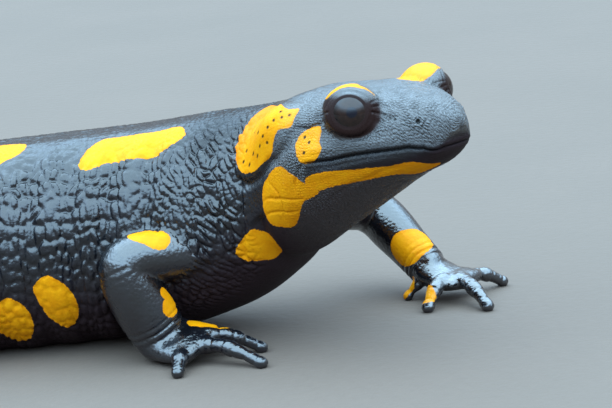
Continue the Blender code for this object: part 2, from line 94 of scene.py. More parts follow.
# The body's own sections: behind the snout, half width, then the heights over the floor of the back,
# of the widest line and of the belly
SECTIONS = [
    (0, 3.8, 23.9, 20.9, 18.9),
    (2.5, 4.75, 24.4, 20.1, 18.0),
    (5.5, 6.3, 25.0, 19.7, 16.8),
    (EYE_AT, 7.4, 25.5, 19.2, 15.4),
    (MOUTH_CORNER_AT, 8.2, 25.2, 18.3, 12.9),
    (17, 8.5, 24.7, 16.9, 9.8),
    (HEAD_END, 8.0, 23.3, 14.4, 6.5),
    (NECK_END, 8.2, 22.7, 12.8, 4.0),
    (30, 9.6, 22.1, 11.4, 1.9),
    (37, 10.8, 21.2, 10.2, 0.3),
    (47, 11.5, 20.6, 9.4, -0.5),
    (WAIST_AT, 11.6, 20.0, 8.8, -0.6),
    (75, 10.9, 18.0, 8.0, -0.5),
    (HIP_AT, 9.0, 14.8, 7.0, -0.3),
    (TORSO_END, 6.6, 11.6, 5.6, -0.5),
    (104, 5.1, 10.0, 4.8, -0.7),
    (120, 4.2, 8.4, 3.9, -0.7),
    (140, 3.3, 6.6, 3.0, -0.5),
    (160, 2.3, 4.7, 2.1, -0.35),
    (174, 1.6, 3.4, 1.5, -0.25),
    (TOTAL_LENGTH, 1.3, 2.8, 1.3, -0.2),
]
SNOUT_TIP_HEIGHT = 22.0
ROUNDING = {"half_width": 6.0, "back": 3.2, "side": 1.2, "belly": 3.0}
CHIN_SETBACK = 0.6
TAIL_ROUNDING = 3.0


def smooth_through(xs, ys, x):
    """A smooth curve through the points (xs, ys), read at x."""
    xs, ys = np.asarray(xs, float), np.asarray(ys, float)
    slopes = np.gradient(ys, xs)
    x = np.clip(x, xs[0], xs[-1])
    i = np.clip(np.searchsorted(xs, x, side="right") - 1, 0, len(xs) - 2)
    span = xs[i + 1] - xs[i]
    t = (x - xs[i]) / span
    start = ys[i] * (1 + 2 * t) * (1 - t) ** 2 + slopes[i] * span * t * (1 - t) ** 2
    end = ys[i + 1] * t * t * (3 - 2 * t) - slopes[i + 1] * span * t * t * (1 - t)
    return start + end


def bell(x, centre, width):
    """A smooth bump of height 1 round a centre."""
    return np.exp(-(((x - centre) / width) ** 2))


def ramp(x, low, high):
    """Rises smoothly from 0 at low to 1 at high, and falls where low is the larger."""
    t = np.clip((x - low) / (high - low), 0, 1)
    return t * t * (3 - 2 * t)


def rounded_end(distance, length):
    """Rises from 0 to 1 along a quarter of an ellipse, then stays at 1."""
    t = np.clip(distance / length, 0, 1)
    return np.sqrt(np.clip(1 - (1 - t) ** 2, 0, 1))


def unit(vector):
    return vector / np.linalg.norm(vector)


# The line of the back seen from above, from the snout at (0, 0) to the tip of the tail
BACK_STEP = 0.25
BACK = np.arange(0, TOTAL_LENGTH + BACK_STEP, BACK_STEP)
BACK_HEADING = np.radians(smooth_through(*zip(*HEADINGS), BACK))
BACK_X = -np.concatenate([[0], np.cumsum(np.cos(BACK_HEADING[:-1]) * BACK_STEP)])
BACK_Y = -np.concatenate([[0], np.cumsum(np.sin(BACK_HEADING[:-1]) * BACK_STEP)])


def place(behind, left, height):
    """The point at a distance behind the snout, to the left of the back's line, over the floor."""
    heading = np.interp(behind, BACK, BACK_HEADING)
    x = np.interp(behind, BACK, BACK_X) - left * np.sin(heading)
    y = np.interp(behind, BACK, BACK_Y) + left * np.cos(heading)
    return np.stack(np.broadcast_arrays(x, y, height), axis=-1)


def ways(behind):
    """The ways forward along the back's line and to its left, at a distance behind the snout."""
    heading = np.interp(behind, BACK, BACK_HEADING)
    return np.array([cos(heading), sin(heading), 0]), np.array([-sin(heading), cos(heading), 0])


def behind_and_left(points):
    """Where points lie: behind the snout and to the left of the back's line."""
    behind = np.interp(-points[:, 0], -BACK_X, BACK)
    for _ in range(8):
        heading = np.interp(behind, BACK, BACK_HEADING)
        off_x = points[:, 0] - np.interp(behind, BACK, BACK_X)
        off_y = points[:, 1] - np.interp(behind, BACK, BACK_Y)
        behind = np.clip(behind - 0.8 * (off_x * np.cos(heading) + off_y * np.sin(heading)), 0, TOTAL_LENGTH)
    return behind, -off_x * np.sin(heading) + off_y * np.cos(heading)


def outline(behind):
    """Half width, and the heights of back, widest line and belly, at a distance behind the snout."""
    at, *columns = zip(*SECTIONS)
    half_width, back, side, belly = (smooth_through(at, column, behind) for column in columns)
    tail = rounded_end(TOTAL_LENGTH - behind, TAIL_ROUNDING)
    half_width = half_width * rounded_end(behind, ROUNDING["half_width"]) * tail
    back_round = rounded_end(behind, ROUNDING["back"])
    side_round = rounded_end(behind, ROUNDING["side"])
    belly_round = rounded_end(behind - CHIN_SETBACK, ROUNDING["belly"])
    back = SNOUT_TIP_HEIGHT + (back - SNOUT_TIP_HEIGHT) * back_round
    side = SNOUT_TIP_HEIGHT + (side - SNOUT_TIP_HEIGHT) * side_round
    belly = side + (belly - side) * belly_round
    return half_width, side + (back - side) * tail, side, side + (belly - side) * tail


# How far round the head from its widest line the mouth runs: behind the snout, degrees
MOUTH_ANGLES = ((0.9, -40.0), (2.0, -0.8), (3.0, 3.4), (7.5, 3.3), (9.5, 2.9), (MOUTH_CORNER_AT, 4.5))
MOUTH_STARTS_AT = 0.9


def mouth_angle(behind):
    """How far round the head the mouth runs, in degrees from its widest line."""
    return np.interp(behind, *zip(*MOUTH_ANGLES))


# Swellings and, below zero, hollows: height, then their middle and reach along the body and, in degrees,
# round it
SWELLINGS = {
    "gland": (1.6, 18.0, 3.2, 40, 18),
    "top of the gland": (0.2, 18.2, 1.6, 66, 14),
    "brow": (0.5, 10.5, 2.6, 48, 14),
    "cheek": (0.45, 13.5, 3.0, 8, 12),
    "shoulder": (0.9, SHOULDER_AT + 1, 4.5, -8, 30),
    "hip": (0.8, HIP_AT, 5, 5, 34),
    "vent": (0.7, SNOUT_TO_VENT, 3, -90, 40),
    "groove of the spine": (-0.25, 58, 30, 90, 9),
}


def relief(behind, angle):
    """How far the skin stands out from the plain section, in its main swellings and furrows."""
    swell = ribs(behind, np.abs(angle))
    for height, middle, length, turn, spread in SWELLINGS.values():
        swell = swell + height * bell(behind, middle, length) * bell(angle, turn, spread)
    along_mouth = np.clip((behind - 1.5) / 4, 0, 1) * np.clip((MOUTH_CORNER_AT + 0.5 - behind) / 1.5, 0, 1)
    over_mouth = angle - mouth_angle(behind)
    lips = along_mouth * (0.22 * bell(over_mouth, 7, 5) + 0.16 * bell(over_mouth, -7, 5))
    throat_fold = -0.55 * bell(behind, 20.3, 0.9) * (angle < -12)
    return swell + lips + throat_fold


FIRST_GROOVE = SHOULDER_AT + 6.5
LAST_GROOVE = HIP_AT - 5.0
GROOVE_SPACING = (LAST_GROOVE - FIRST_GROOVE) / (COSTAL_GROOVES - 1)


def ribs(behind, up):
    """The grooves down the flank between the legs, one for each rib, and fainter ones along the tail."""
    wave = (0.5 + 0.5 * np.cos(2 * pi * (behind - FIRST_GROOVE) / GROOVE_SPACING)) ** 1.5
    flank = np.clip((78 - up) / 25, 0, 1)
    within = np.clip((behind - FIRST_GROOVE + 3) / 3, 0, 1)
    fade = np.where(behind < LAST_GROOVE + 2, 1, 0.45 * np.clip((TOTAL_LENGTH - behind) / 60, 0, 1))
    return -0.5 * wave * flank * within * fade


def squareness(behind):
    """How square the section is above and below its widest line. 2 is an ellipse."""
    on_head = np.clip((HEAD_END - behind) / 8, 0, 1)
    return 2.1 + on_head * (0.35 * np.clip(behind / 8, 0, 1) + 0.1), 2.25 - 0.1 * on_head


def section(behind, angle):
    """Points on the body's skin, as left of the back's line and height, on the left side."""
    half_width, back, side, belly = outline(behind)
    square_above, square_below = squareness(behind)
    turn = np.radians(angle)
    power = 2 / np.where(angle > 0, square_above, square_below)
    out = np.abs(np.cos(turn)) ** power
    rise = np.sign(turn) * np.abs(np.sin(turn)) ** power
    extra = relief(behind, angle) * np.clip(half_width / 4.0, 0, 1)
    left = half_width * out + extra * np.cos(turn)
    height = side + np.where(angle > 0, back - side, side - belly) * rise + extra * np.sin(turn)
    return left, np.maximum(height, 0.0)


def on_skin(behind, angle, side):
    """The point on the plain body at an angle round it. Side is 1 on the left and -1 on the right."""
    behind, angle = np.asarray(behind, float), np.asarray(angle, float)
    left, height = section(behind, angle)
    return place(behind, side * left, height)


def angle_round(behind, left, height):
    """The angle round the body of points near its skin, and how far out they are, 1 being on the skin."""
    half_width, back, side, belly = outline(behind)
    above = height > side
    square = np.where(above, *squareness(behind))
    tall = np.where(above, back - side, side - belly)
    across = np.abs(left) / np.maximum(half_width, 0.3)
    up = np.abs(height - side) / np.maximum(tall, 0.3)
    angle = np.degrees(np.arctan2(up ** (square / 2), across ** (square / 2)))
    return np.where(above, angle, -angle), (across ** square + up ** square) ** (1 / square)


# Eyes
EYE_OUT = 5.9
EYE_OVER_SIDE = 4.5
EYE_LOOKS = (0.55, 0.8, 0.25)
LID_RADII = (2.9, 2.8, 2.8)
LID_INSET = 0.6
EYE_OPENING = (1.68, 1.50)
LID_RISE = 0.42


def eye_axes(side):
    """The eye's centre and the way it looks. Side is 1 on the left and -1 on the right."""
    centre = place(EYE_AT, side * EYE_OUT, outline(EYE_AT)[2] + EYE_OVER_SIDE)
    forward, out, up = EYE_LOOKS
    ahead, leftward = ways(EYE_AT)
    return centre, unit(forward * ahead + side * out * leftward + np.array([0, 0, up]))


# Legs. Every point is ahead of, out from and above the spot on the floor under the shoulders or hips.
# Each digit has its direction, in degrees from straight ahead towards the outside, and its length.
# The radii of the lower leg are listed from the wrist or ankle up. A palm's tilt, in degrees, turns its
# back towards the outside.
LEGS = {
    "front_right": {
        "hub": SHOULDER_AT, "side": -1,
        "root": (0.5, 5.0, 9.8), "knee": (-6.9, 13.9, 10.4), "ankle": (-4.5, 11.4, 3.0),
        "palm": (-1.3, 11.9, 1.9), "digits": ((-105, 2.6), (-33, 5.2), (8, 6.6), (72, 3.6)),
        "lower_radii": (2.95, 3.1, 2.95, 2.6), "palm_half_width": 3.2, "palm_tilt": 22,
    },
    "front_left": {
        "hub": SHOULDER_AT, "side": 1,
        "root": (0.5, 5.0, 11.6), "knee": (6.0, 17.9, 8.4), "ankle": (13.2, 14.4, 2.9),
        "palm": (16.0, 13.8, 1.9), "digits": ((-159, 2.4), (-92, 4.0), (-41, 5.6), (52, 3.8)),
        "lower_radii": (2.2, 2.35, 2.6, 2.6), "palm_half_width": 3.1, "palm_tilt": 8,
    },
    "hind_right": {
        "hub": HIP_AT, "side": -1,
        "root": (0.0, 3.5, 7.4), "knee": (8.6, 13.4, 7.4), "ankle": (1.6, 18.4, 2.8),
        "palm": (2.6, 21.6, 0.9), "digits": ((-22, 2.6), (8, 4.0), (38, 5.0), (68, 4.6), (98, 3.0)),
        "lower_radii": (1.95, 2.25, 2.65, 2.6), "palm_half_width": 3.0, "palm_tilt": 0,
    },
    "hind_left": {
        "hub": HIP_AT, "side": 1,
        "root": (0.0, 3.5, 7.4), "knee": (-1.0, 15.4, 7.0), "ankle": (-9.2, 16.0, 2.8),
        "palm": (-11.4, 18.4, 0.9), "digits": ((12, 2.6), (42, 4.0), (72, 5.0), (102, 4.6), (132, 3.0)),
        "lower_radii": (1.95, 2.25, 2.65, 2.6), "palm_half_width": 3.0, "palm_tilt": 0,
    },
}
UPPER_RADII = (2.7, 2.75, 2.7, 2.6)
KNEE_BEND = 2.6
FLATTENED = 0.94
PALM_BEND = 1.0
PALM_END_AHEAD = 1.7
PALM_FRONT_HALF_HEIGHT = 0.85
DIGIT_RADIUS = 0.92
DIGIT_BEND = 0.5
DIGIT_TIP_HEIGHT = 0.45
DIGIT_ARCH = ((0.0, 0.0), (0.35, 0.55), (0.7, 0.4), (1.0, 0.0))
KNUCKLE_FROM_PALM = 2.1


def turned(leg, ahead, out, up):
    """A step ahead of, out from and up from the body at the leg's root, in the model's own axes."""
    forward, leftward = ways(leg["hub"])
    return ahead * forward + out * leg["side"] * leftward + np.array([0, 0, up])


def leg_point(leg, name):
    """A named point of the leg, in the body's own place."""
    return place(leg["hub"], 0, 0) + turned(leg, *leg[name])


# The whole model is moved from the snout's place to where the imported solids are
EYE_BOX = np.array([list(corner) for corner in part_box("eye_right")]) / MM
TO_FRAME = (EYE_BOX.mean(axis=0) - eye_axes(-1)[0]) * (1, 1, 0)


# Meshes
def new_object(name, verts, faces):
    """An object of this mesh. Its points are in millimetres from the snout's place."""
    mesh = bpy.data.meshes.new(name)
    mesh.from_pydata([tuple(v) for v in (np.asarray(verts) + TO_FRAME) * MM], [], faces)
    mesh.validate()
    obj = bpy.data.objects.new(name, mesh)
    bpy.context.scene.collection.objects.link(obj)
    return obj


def loft(name, rings):
    """A closed object through rings of points. An end is closed by a ring of one point or by a flat cap."""
    verts = np.concatenate([np.atleast_2d(ring) for ring in rings])
    starts = np.cumsum([0] + [len(ring) for ring in rings])
    faces = []
    for i in range(len(rings) - 1):
        near, far = len(rings[i]), len(rings[i + 1])
        for k in range(max(near, far)):
            corners = [starts[i] + k % near, starts[i] + (k + 1) % near]
            corners += [starts[i + 1] + (k + 1) % far, starts[i + 1] + k % far]
            faces.append(list(dict.fromkeys(int(c) for c in corners)))
    for i in (0, len(rings) - 1):
        if len(rings[i]) > 1:
            faces.append([int(starts[i] + k) for k in range(len(rings[i]))])
    obj = new_object(name, verts, faces)
    bm = bmesh.new()
    bm.from_mesh(obj.data)
    bmesh.ops.recalc_face_normals(bm, faces=bm.faces)
    bm.to_mesh(obj.data)
    bm.free()
    return obj


def ellipsoid(name, centre, radii, axis=(0, 0, 1), segments=48, rings=28):
    """A ball with three radii, the last one along the axis."""
    bm = bmesh.new()
    bmesh.ops.create_uvsphere(bm, u_segments=segments, v_segments=rings, radius=1.0)
    bmesh.ops.scale(bm, vec=radii, verts=bm.verts)
    bmesh.ops.rotate(bm, matrix=Vector(axis).to_track_quat("Z", "Y").to_matrix(), verts=bm.verts)
    bmesh.ops.translate(bm, vec=Vector(centre), verts=bm.verts)
    verts = [v.co[:] for v in bm.verts]
    faces = [[v.index for v in f.verts] for f in bm.faces]
    bm.free()
    return new_object(name, verts, faces)


def apply_modifier(obj, kind, **settings):
    """Adds one modifier and makes its result the object's mesh."""
    modifier = obj.modifiers.new("shape", kind)
    for key, value in settings.items():
        setattr(modifier, key, value)
    graph = bpy.context.evaluated_depsgraph_get()
    made = bpy.data.meshes.new_from_object(obj.evaluated_get(graph))
    obj.modifiers.remove(modifier)
    obj.data = made


def combine(obj, others):
    """Joins other closed objects to this one, and removes them."""
    tools = bpy.data.collections.new("tools")
    bpy.context.scene.collection.children.link(tools)
    for other in others:
        tools.objects.link(other)
    apply_modifier(
        obj, "BOOLEAN", operation="UNION", solver="MANIFOLD", operand_type="COLLECTION", collection=tools
    )
    for other in others:
        bpy.data.objects.remove(other)
    bpy.data.collections.remove(tools)


def bent_path(corners, bends, step):
    """Points at even steps along a path whose inner corners are rounded off, each over its own distance."""
    points = [np.asarray(corners[0], float)]
    for before, corner, after, bend in zip(corners, corners[1:], corners[2:], bends):
        start = corner + bend * unit(before - corner)
        end = corner + bend * unit(after - corner)
        for t in np.linspace(0, 1, 17):
            points.append((1 - t) ** 2 * start + 2 * t * (1 - t) * corner + t * t * end)
    points = np.array(points + [corners[-1]])
    travelled = np.concatenate([[0], np.cumsum(np.linalg.norm(np.diff(points, axis=0), axis=1))])
    along = np.linspace(0, travelled[-1], max(3, round(travelled[-1] / step) + 1))
    return np.stack([np.interp(along, travelled, points[:, k]) for k in range(3)], axis=-1), along


def tube_rings(path, half_widths, half_heights, around, up=(0.0, 0.0, 1.0)):
    """Rings along a path. The frame is carried along without twist, and both ends close in round tips."""
    ahead = np.gradient(path, axis=0)
    frame_up = np.asarray(up)
    turns = np.linspace(0, 2 * pi, around, endpoint=False)
    rings = []
    for point, along, width, height in zip(path, ahead, half_widths, half_heights):
        along = unit(along)
        frame_up = unit(frame_up - along * (frame_up @ along))
        sideways = np.outer(np.cos(turns) * width, np.cross(along, frame_up))
        rings.append(point + sideways + np.outer(np.sin(turns) * height, frame_up))
    start = round_tip(rings[0], path[0], -unit(ahead[0]))
    return start[::-1] + rings + round_tip(rings[-1], path[-1], unit(ahead[-1]))


def round_tip(ring, centre, tip):
    """The rings of a round end beyond the last ring of a tube."""
    last = ring - centre
    radius = np.linalg.norm(last, axis=1).min()
    dome = [centre + last * cos(lift) + tip * radius * sin(lift) for lift in np.radians([15, 30, 45, 60, 75])]
    return dome + [np.array([centre + tip * radius])]


# The rough body, before its skin is drawn over it
def body():
    """Head, trunk and tail in one, with more rings where the ends are round."""
    tip = ROUNDING["half_width"] * (1 - np.cos(np.linspace(0, pi / 2, 25)[1:]))
    end = TOTAL_LENGTH - TAIL_ROUNDING * (1 - np.sin(np.linspace(0, pi / 2, 13)[:-1]))
    middle = np.arange(tip[-1] + 0.4, end[0] - 0.2, 0.4)
    angles = np.linspace(90, -90, 57)
    rings = [place(0.0, 0.0, outline(0.0)[2])[None]]
    for behind in np.concatenate([tip, middle, end]):
        left, height = section(behind, angles)
        left[[0, -1]] = 0.0
        right = place(behind, -left[-2:0:-1], height[-2:0:-1])
        rings.append(np.concatenate([place(behind, left, height), right]))
    rings.append(place(TOTAL_LENGTH, 0.0, outline(TOTAL_LENGTH)[2])[None])
    return loft("skin", rings)


def leg_tube(leg):
    """Upper and lower leg in one, from inside the body to the wrist or ankle."""
    corners = [leg_point(leg, name) for name in ("root", "knee", "ankle")]
    path, along = bent_path(corners, [KNEE_BEND], 0.4)
    upper = np.linalg.norm(corners[1] - corners[0])
    share = along / along[-1]
    bend = upper / (upper + np.linalg.norm(corners[2] - corners[1]))
    at = np.concatenate([np.linspace(0, bend, 4), bend + (1 - bend) * np.array([1 / 3, 2 / 3, 1])])
    radii = smooth_through(at, UPPER_RADII + leg["lower_radii"][-2::-1], share)
    return loft("leg", tube_rings(path, radii, radii * FLATTENED, 40))


def palm(leg):
    """From the wrist or ankle to the knuckles, thin and wide at the front."""
    wrist, middle, knee = (leg_point(leg, name) for name in ("ankle", "palm", "knee"))
    ahead = unit((middle - wrist) * (1, 1, 0))
    down_arm = unit(wrist - knee)
    corners = [wrist - down_arm, wrist + down_arm, middle, middle + ahead * PALM_END_AHEAD]
    path, along = bent_path(corners, [PALM_BEND] * 2, 0.3)
    share = along / along[-1]
    ankle_radius = leg["lower_radii"][0]
    widths = ankle_radius + (leg["palm_half_width"] - ankle_radius) * np.sin(share * pi / 2) ** 1.6
    heights = ankle_radius * FLATTENED + (PALM_FRONT_HALF_HEIGHT - ankle_radius * FLATTENED) * share
    tilt = radians(leg["palm_tilt"])
    return loft("palm", tube_rings(path, widths, heights, 40, turned(leg, 0, sin(tilt), cos(tilt))))


def digit_line(leg, toward, length):
    """Where a digit runs: from inside the palm, over a low arch, to its tip on the floor."""
    direction = turned(leg, cos(radians(toward)), sin(radians(toward)), 0)
    knuckle = leg_point(leg, "palm") + direction * KNUCKLE_FROM_PALM
    knuckle[2] -= KNUCKLE_FROM_PALM * sin(radians(toward)) * sin(radians(leg["palm_tilt"]))
    corners = []
    for far, arch in DIGIT_ARCH:
        corner = knuckle + direction * length * far
        corner[2] = knuckle[2] * (1 - far) + DIGIT_TIP_HEIGHT * far + arch
        corners.append(corner)
    return corners


def digit(leg, toward, length):
    """One finger or toe, a little thicker at its joints."""
    path, reach = bent_path(digit_line(leg, toward, length), [DIGIT_BEND] * 2, 0.25)
    share = reach / reach[-1]
    radii = DIGIT_RADIUS * (1 - 0.32 * share + 0.08 * np.cos(share * 4 * pi))
    return loft("digit", tube_rings(path, radii, radii * 0.9, 24))


def rough_skin():
    """Body, lids and legs drawn into one closed surface of even small faces."""
    skin = body()
    parts = []
    for side in (1, -1):
        centre, gaze = eye_axes(side)
        parts.append(ellipsoid("lid", centre - LID_INSET * gaze, LID_RADII, gaze))
    for leg in LEGS.values():
        parts += [leg_tube(leg), palm(leg)]
        parts += [digit(leg, *shape) for shape in leg["digits"]]
    combine(skin, parts)
    apply_modifier(skin, "REMESH", mode="VOXEL", voxel_size=VOXEL * MM, adaptivity=0.0)
    refine_head(skin)
    return skin


def refine_head(skin):
    """Parts the faces of head and neck once more, and those of the snout and round the eyes twice."""
    bm = bmesh.new()
    bm.from_mesh(skin.data)
    for behind in FINE_UP_TO:
        ahead = Vector(ways(behind)[0])
        start = Vector((place(behind, 0, 0) + TO_FRAME) * MM)
        fine = [f for f in bm.faces if (f.verts[0].co - start).dot(ahead) > 0 and f.verts[0].co.z > 0.5 * MM]
        edges = list({e for f in fine for e in f.edges})
        bmesh.ops.subdivide_edges(bm, edges=edges, cuts=1, use_grid_fill=True)
    bm.to_mesh(skin.data)
    bm.free()


class Surface:
    """The skin's points, with where each lies on the animal."""

    def __init__(self, obj):
        self.obj = obj
        mesh = obj.data
        self.co = np.empty(len(mesh.vertices) * 3)
        mesh.vertices.foreach_get("co", self.co)
        self.co = self.co.reshape(-1, 3) / MM - TO_FRAME
        self.edges = np.empty(len(mesh.edges) * 2, np.int32)
        mesh.edges.foreach_get("vertices", self.edges)
        self.edges = self.edges.reshape(-1, 2)
        self.valence = np.bincount(self.edges.ravel(), minlength=len(self.co))

    def measure(self):
        """Finds where each point lies on the body, and how far beyond the body's own skin."""
        self.behind, self.left = behind_and_left(self.co)
        self.side = np.where(self.left > 0, 1, -1)
        height = self.co[:, 2]
        self.angle, out = angle_round(self.behind, self.left, height)
        self.chart = np.stack([self.behind, girth(self.behind, self.angle)], axis=-1)
        half_width, _, side, _ = outline(self.behind)
        reach = np.hypot(self.left, height - side)
        swelling = relief(self.behind, self.angle) * np.clip(half_width / 4.0, 0, 1)
        self.beyond = reach - reach / np.maximum(out, 0.2) - swelling
        self.on_body = ramp(self.beyond, 0.75, 0.25)

    def mean_round(self, values):
        """The mean of the neighbours of each point."""
        a, b = self.edges.T
        total = np.stack([
            np.bincount(a, v[b], len(v)) + np.bincount(b, v[a], len(v)) for v in values.T
        ], axis=-1)
        return total / self.valence[:, None]

    def smooth(self, times, weight=1.0):
        """Draws each point towards its neighbours, by as much as its weight says."""
        for _ in range(times):
            self.co += (self.mean_round(self.co) - self.co) * 0.5 * np.reshape(weight, (-1, 1))

    def normals(self):
        """The way out of the skin at each of its points."""
        self.write()
        found = np.empty(len(self.co) * 3)
        self.obj.data.vertices.foreach_get("normal", found)
        return found.reshape(-1, 3)

    def fit_box(self):
        """Keeps every point inside the solids' own box."""
        low, high = (np.array(corner) / MM - TO_FRAME for corner in CAD_BOX)
        self.co = np.clip(self.co, low + BOX_MARGIN * np.array([1, 1, 0]), high - BOX_MARGIN)

    def write(self):
        """Puts the points back into the mesh, in metres."""
        self.obj.data.vertices.foreach_set("co", ((self.co + TO_FRAME) * MM).ravel())
        self.obj.data.update()

    def keep(self, name, values):
        """Stores one number for each point, for the skin's material to read."""
        attribute = self.obj.data.attributes.new(name, "FLOAT", "POINT")
        attribute.data.foreach_set("value", np.asarray(values, np.float32))


def distance_to_line(points, line):
    """The distance of points to a line of straight lengths, and how far along it each is nearest."""
    best = np.full(len(points), np.inf)
    along = np.zeros(len(points))
    travelled = 0.0
    for start, end in zip(line, line[1:]):
        step = end - start
        length = np.linalg.norm(step)
        t = np.clip((points - start) @ step / length ** 2, 0, 1)
        gap = np.linalg.norm(points - start - t[:, None] * step, axis=1)
        nearer = gap < best
        best = np.where(nearer, gap, best)
        along = np.where(nearer, travelled + t * length, along)
        travelled += length
    return best, along


# Random numbers on a lattice, the same on each run
def lattice(*whole):
    """A number from 0 to 1 for each whole-numbered place."""
    mixed = np.zeros(np.shape(whole[0]), np.uint64)
    for k, part in enumerate(whole):
        mixed = (mixed ^ (part.astype(np.int64).astype(np.uint64) + np.uint64(0x9E3779B97F4A7C15 + 7919 * k)))
        mixed = mixed * np.uint64(0xBF58476D1CE4E5B9)
        mixed = mixed ^ (mixed >> np.uint64(29))
    return (mixed % np.uint64(1000003)).astype(float) / 1000003


def cells(x, y, seed):
    """Distances to the nearest and second nearest of points strewn one to a unit square."""
    column, row = np.floor(x), np.floor(y)
    first = np.full(np.shape(x), 9.0)
    second = first.copy()
    for dx in (-1, 0, 1):
        for dy in (-1, 0, 1):
            cx, cy = column + dx, row + dy
            px = cx + 0.15 + 0.7 * lattice(cx, cy, np.full_like(cx, seed))
            py = cy + 0.15 + 0.7 * lattice(cx, cy, np.full_like(cx, seed + 1))
            gap = np.hypot(x - px, y - py)
            second = np.where(gap < first, first, np.minimum(second, gap))
            first = np.minimum(first, gap)
    return first, second


def drift(x, y, seed):
    """Smooth random values from -1 to 1, with features one unit across."""
    column, row = np.floor(x), np.floor(y)
    tx, ty = x - column, y - row
    tx, ty = tx * tx * (3 - 2 * tx), ty * ty * (3 - 2 * ty)
    corner = [
        [lattice(column + i, row + j, np.full_like(column, seed)) for j in (0, 1)] for i in (0, 1)
    ]
    low = corner[0][0] * (1 - ty) + corner[0][1] * ty
    high = corner[1][0] * (1 - ty) + corner[1][1] * ty
    return 2 * (low * (1 - tx) + high * tx) - 1


# Small forms of the skin, as heights along its normals
GIRTH_AT = np.linspace(0.2, TOTAL_LENGTH - 0.2, 240)
GIRTH_ANGLES = np.linspace(90, -90, 91)


def girth_table():
    """Distance round the body from the spine, for each place behind the snout and angle."""
    behind, angle = np.meshgrid(GIRTH_AT, GIRTH_ANGLES, indexing="ij")
    left, height = section(behind, angle)
    steps = np.hypot(np.diff(left, axis=1), np.diff(height, axis=1))
    return np.concatenate([np.zeros((len(GIRTH_AT), 1)), np.cumsum(steps, axis=1)], axis=1)


GIRTH = girth_table()


def girth(behind, angle):
    """How far round the body from the spine a point lies."""
    behind, angle = np.asarray(behind, float), np.asarray(angle, float)
    row = np.clip((behind - GIRTH_AT[0]) / (GIRTH_AT[1] - GIRTH_AT[0]), 0, len(GIRTH_AT) - 1.001)
    column = np.clip((90 - angle) / (GIRTH_ANGLES[0] - GIRTH_ANGLES[1]), 0, len(GIRTH_ANGLES) - 1.001)
    i, j = row.astype(int), column.astype(int)
    u, v = row - i, column - j
    near = GIRTH[i, j] * (1 - v) + GIRTH[i, j + 1] * v
    far = GIRTH[i + 1, j] * (1 - v) + GIRTH[i + 1, j + 1] * v
    return near * (1 - u) + far * u


def furrow(surface, line, depth, width):
    """A groove along places on both sides of the body, fading out at both ends."""
    places = np.array(line, float)
    points = np.stack([places[:, 0], girth(places[:, 0], places[:, 1])], axis=-1)
    height = np.zeros(len(surface.co))
    low, high = points.min(0) - 1.5, points.max(0) + 1.5
    near = np.all((surface.chart > low) & (surface.chart < high), axis=1) & (surface.beyond < 0.6)
    gap, along = distance_to_line(surface.chart[near], points)
    whole = np.linalg.norm(np.diff(points, axis=0), axis=1).sum()
    fade = np.clip(np.minimum(along, whole - along) / (0.25 * whole) + 0.15, 0, 1)
    height[near] = -depth * fade * bell(gap, 0, width)
    return height


# Kinds of bumps: length down the flank, width, height, slant in degrees, and the seed of where they lie
BUMPS = {
    "trunk": (1.45, 0.9, 0.40, 0, 3),
    "grain of the trunk": (0.7, 0.6, 0.06, 0, 21),
    "neck": (1.7, 0.75, 0.36, 38, 41),
    "grain of the neck": (0.62, 0.5, 0.08, 0, 51),
    "grain of the head": (0.29, 0.33, 0.12, 0, 91),
}


def bumps(surface, kind, share):
    """Round-topped bumps packed close, where share is over 0."""
    long, wide, height, slant, seed = BUMPS[kind]
    made = np.zeros(len(surface.co))
    near = np.flatnonzero(share > 0.01)
    x, y = surface.chart[near, 0], surface.chart[near, 1]
    turn = radians(slant)
    across = x * cos(turn) + y * sin(turn)
    down = y * cos(turn) - x * sin(turn)
    across = across + 0.45 * wide * drift(x / (2.4 * wide), y / (2.4 * wide), seed + 5)
    down = down + 0.45 * long * drift(x / (2.4 * wide), y / (2.4 * wide), seed + 7)
    first, second = cells(across / wide, down / long + 50 * (surface.side[near] > 0), seed)
    size = 0.75 + 0.45 * drift(x / (2 * wide), y / (2 * long), seed + 9)
    round_top = np.clip((second - first) / 0.75, 0, 1)
    made[near] = share[near] * height * size * (round_top * (2 - round_top) - 0.6)
    return made


def flank_relief(surface):
    """Bumps on trunk and tail, longer and higher on the flank, and the folded skin of neck and shoulder."""
    behind, angle = surface.behind, surface.angle
    trunk = ramp(behind, 29, 35) * surface.on_body
    neck = ramp(behind, 20.5, 23.5) * ramp(behind, 35, 29) * ramp(angle, -62, -34) * surface.on_body
    lower = ramp(angle, -72, -40)
    over = ramp(angle, 80, 46)
    height = bumps(surface, "trunk", trunk * (0.15 + 0.85 * over) * (0.25 + 0.75 * lower))
    height += bumps(surface, "grain of the trunk", trunk * (1 - 0.6 * over))
    height += bumps(surface, "neck", neck * (0.2 + 0.8 * over))
    height += bumps(surface, "grain of the neck", neck)
    height += bumps(surface, "grain of the head", ramp(behind, 21, 15) * surface.on_body)
    return height


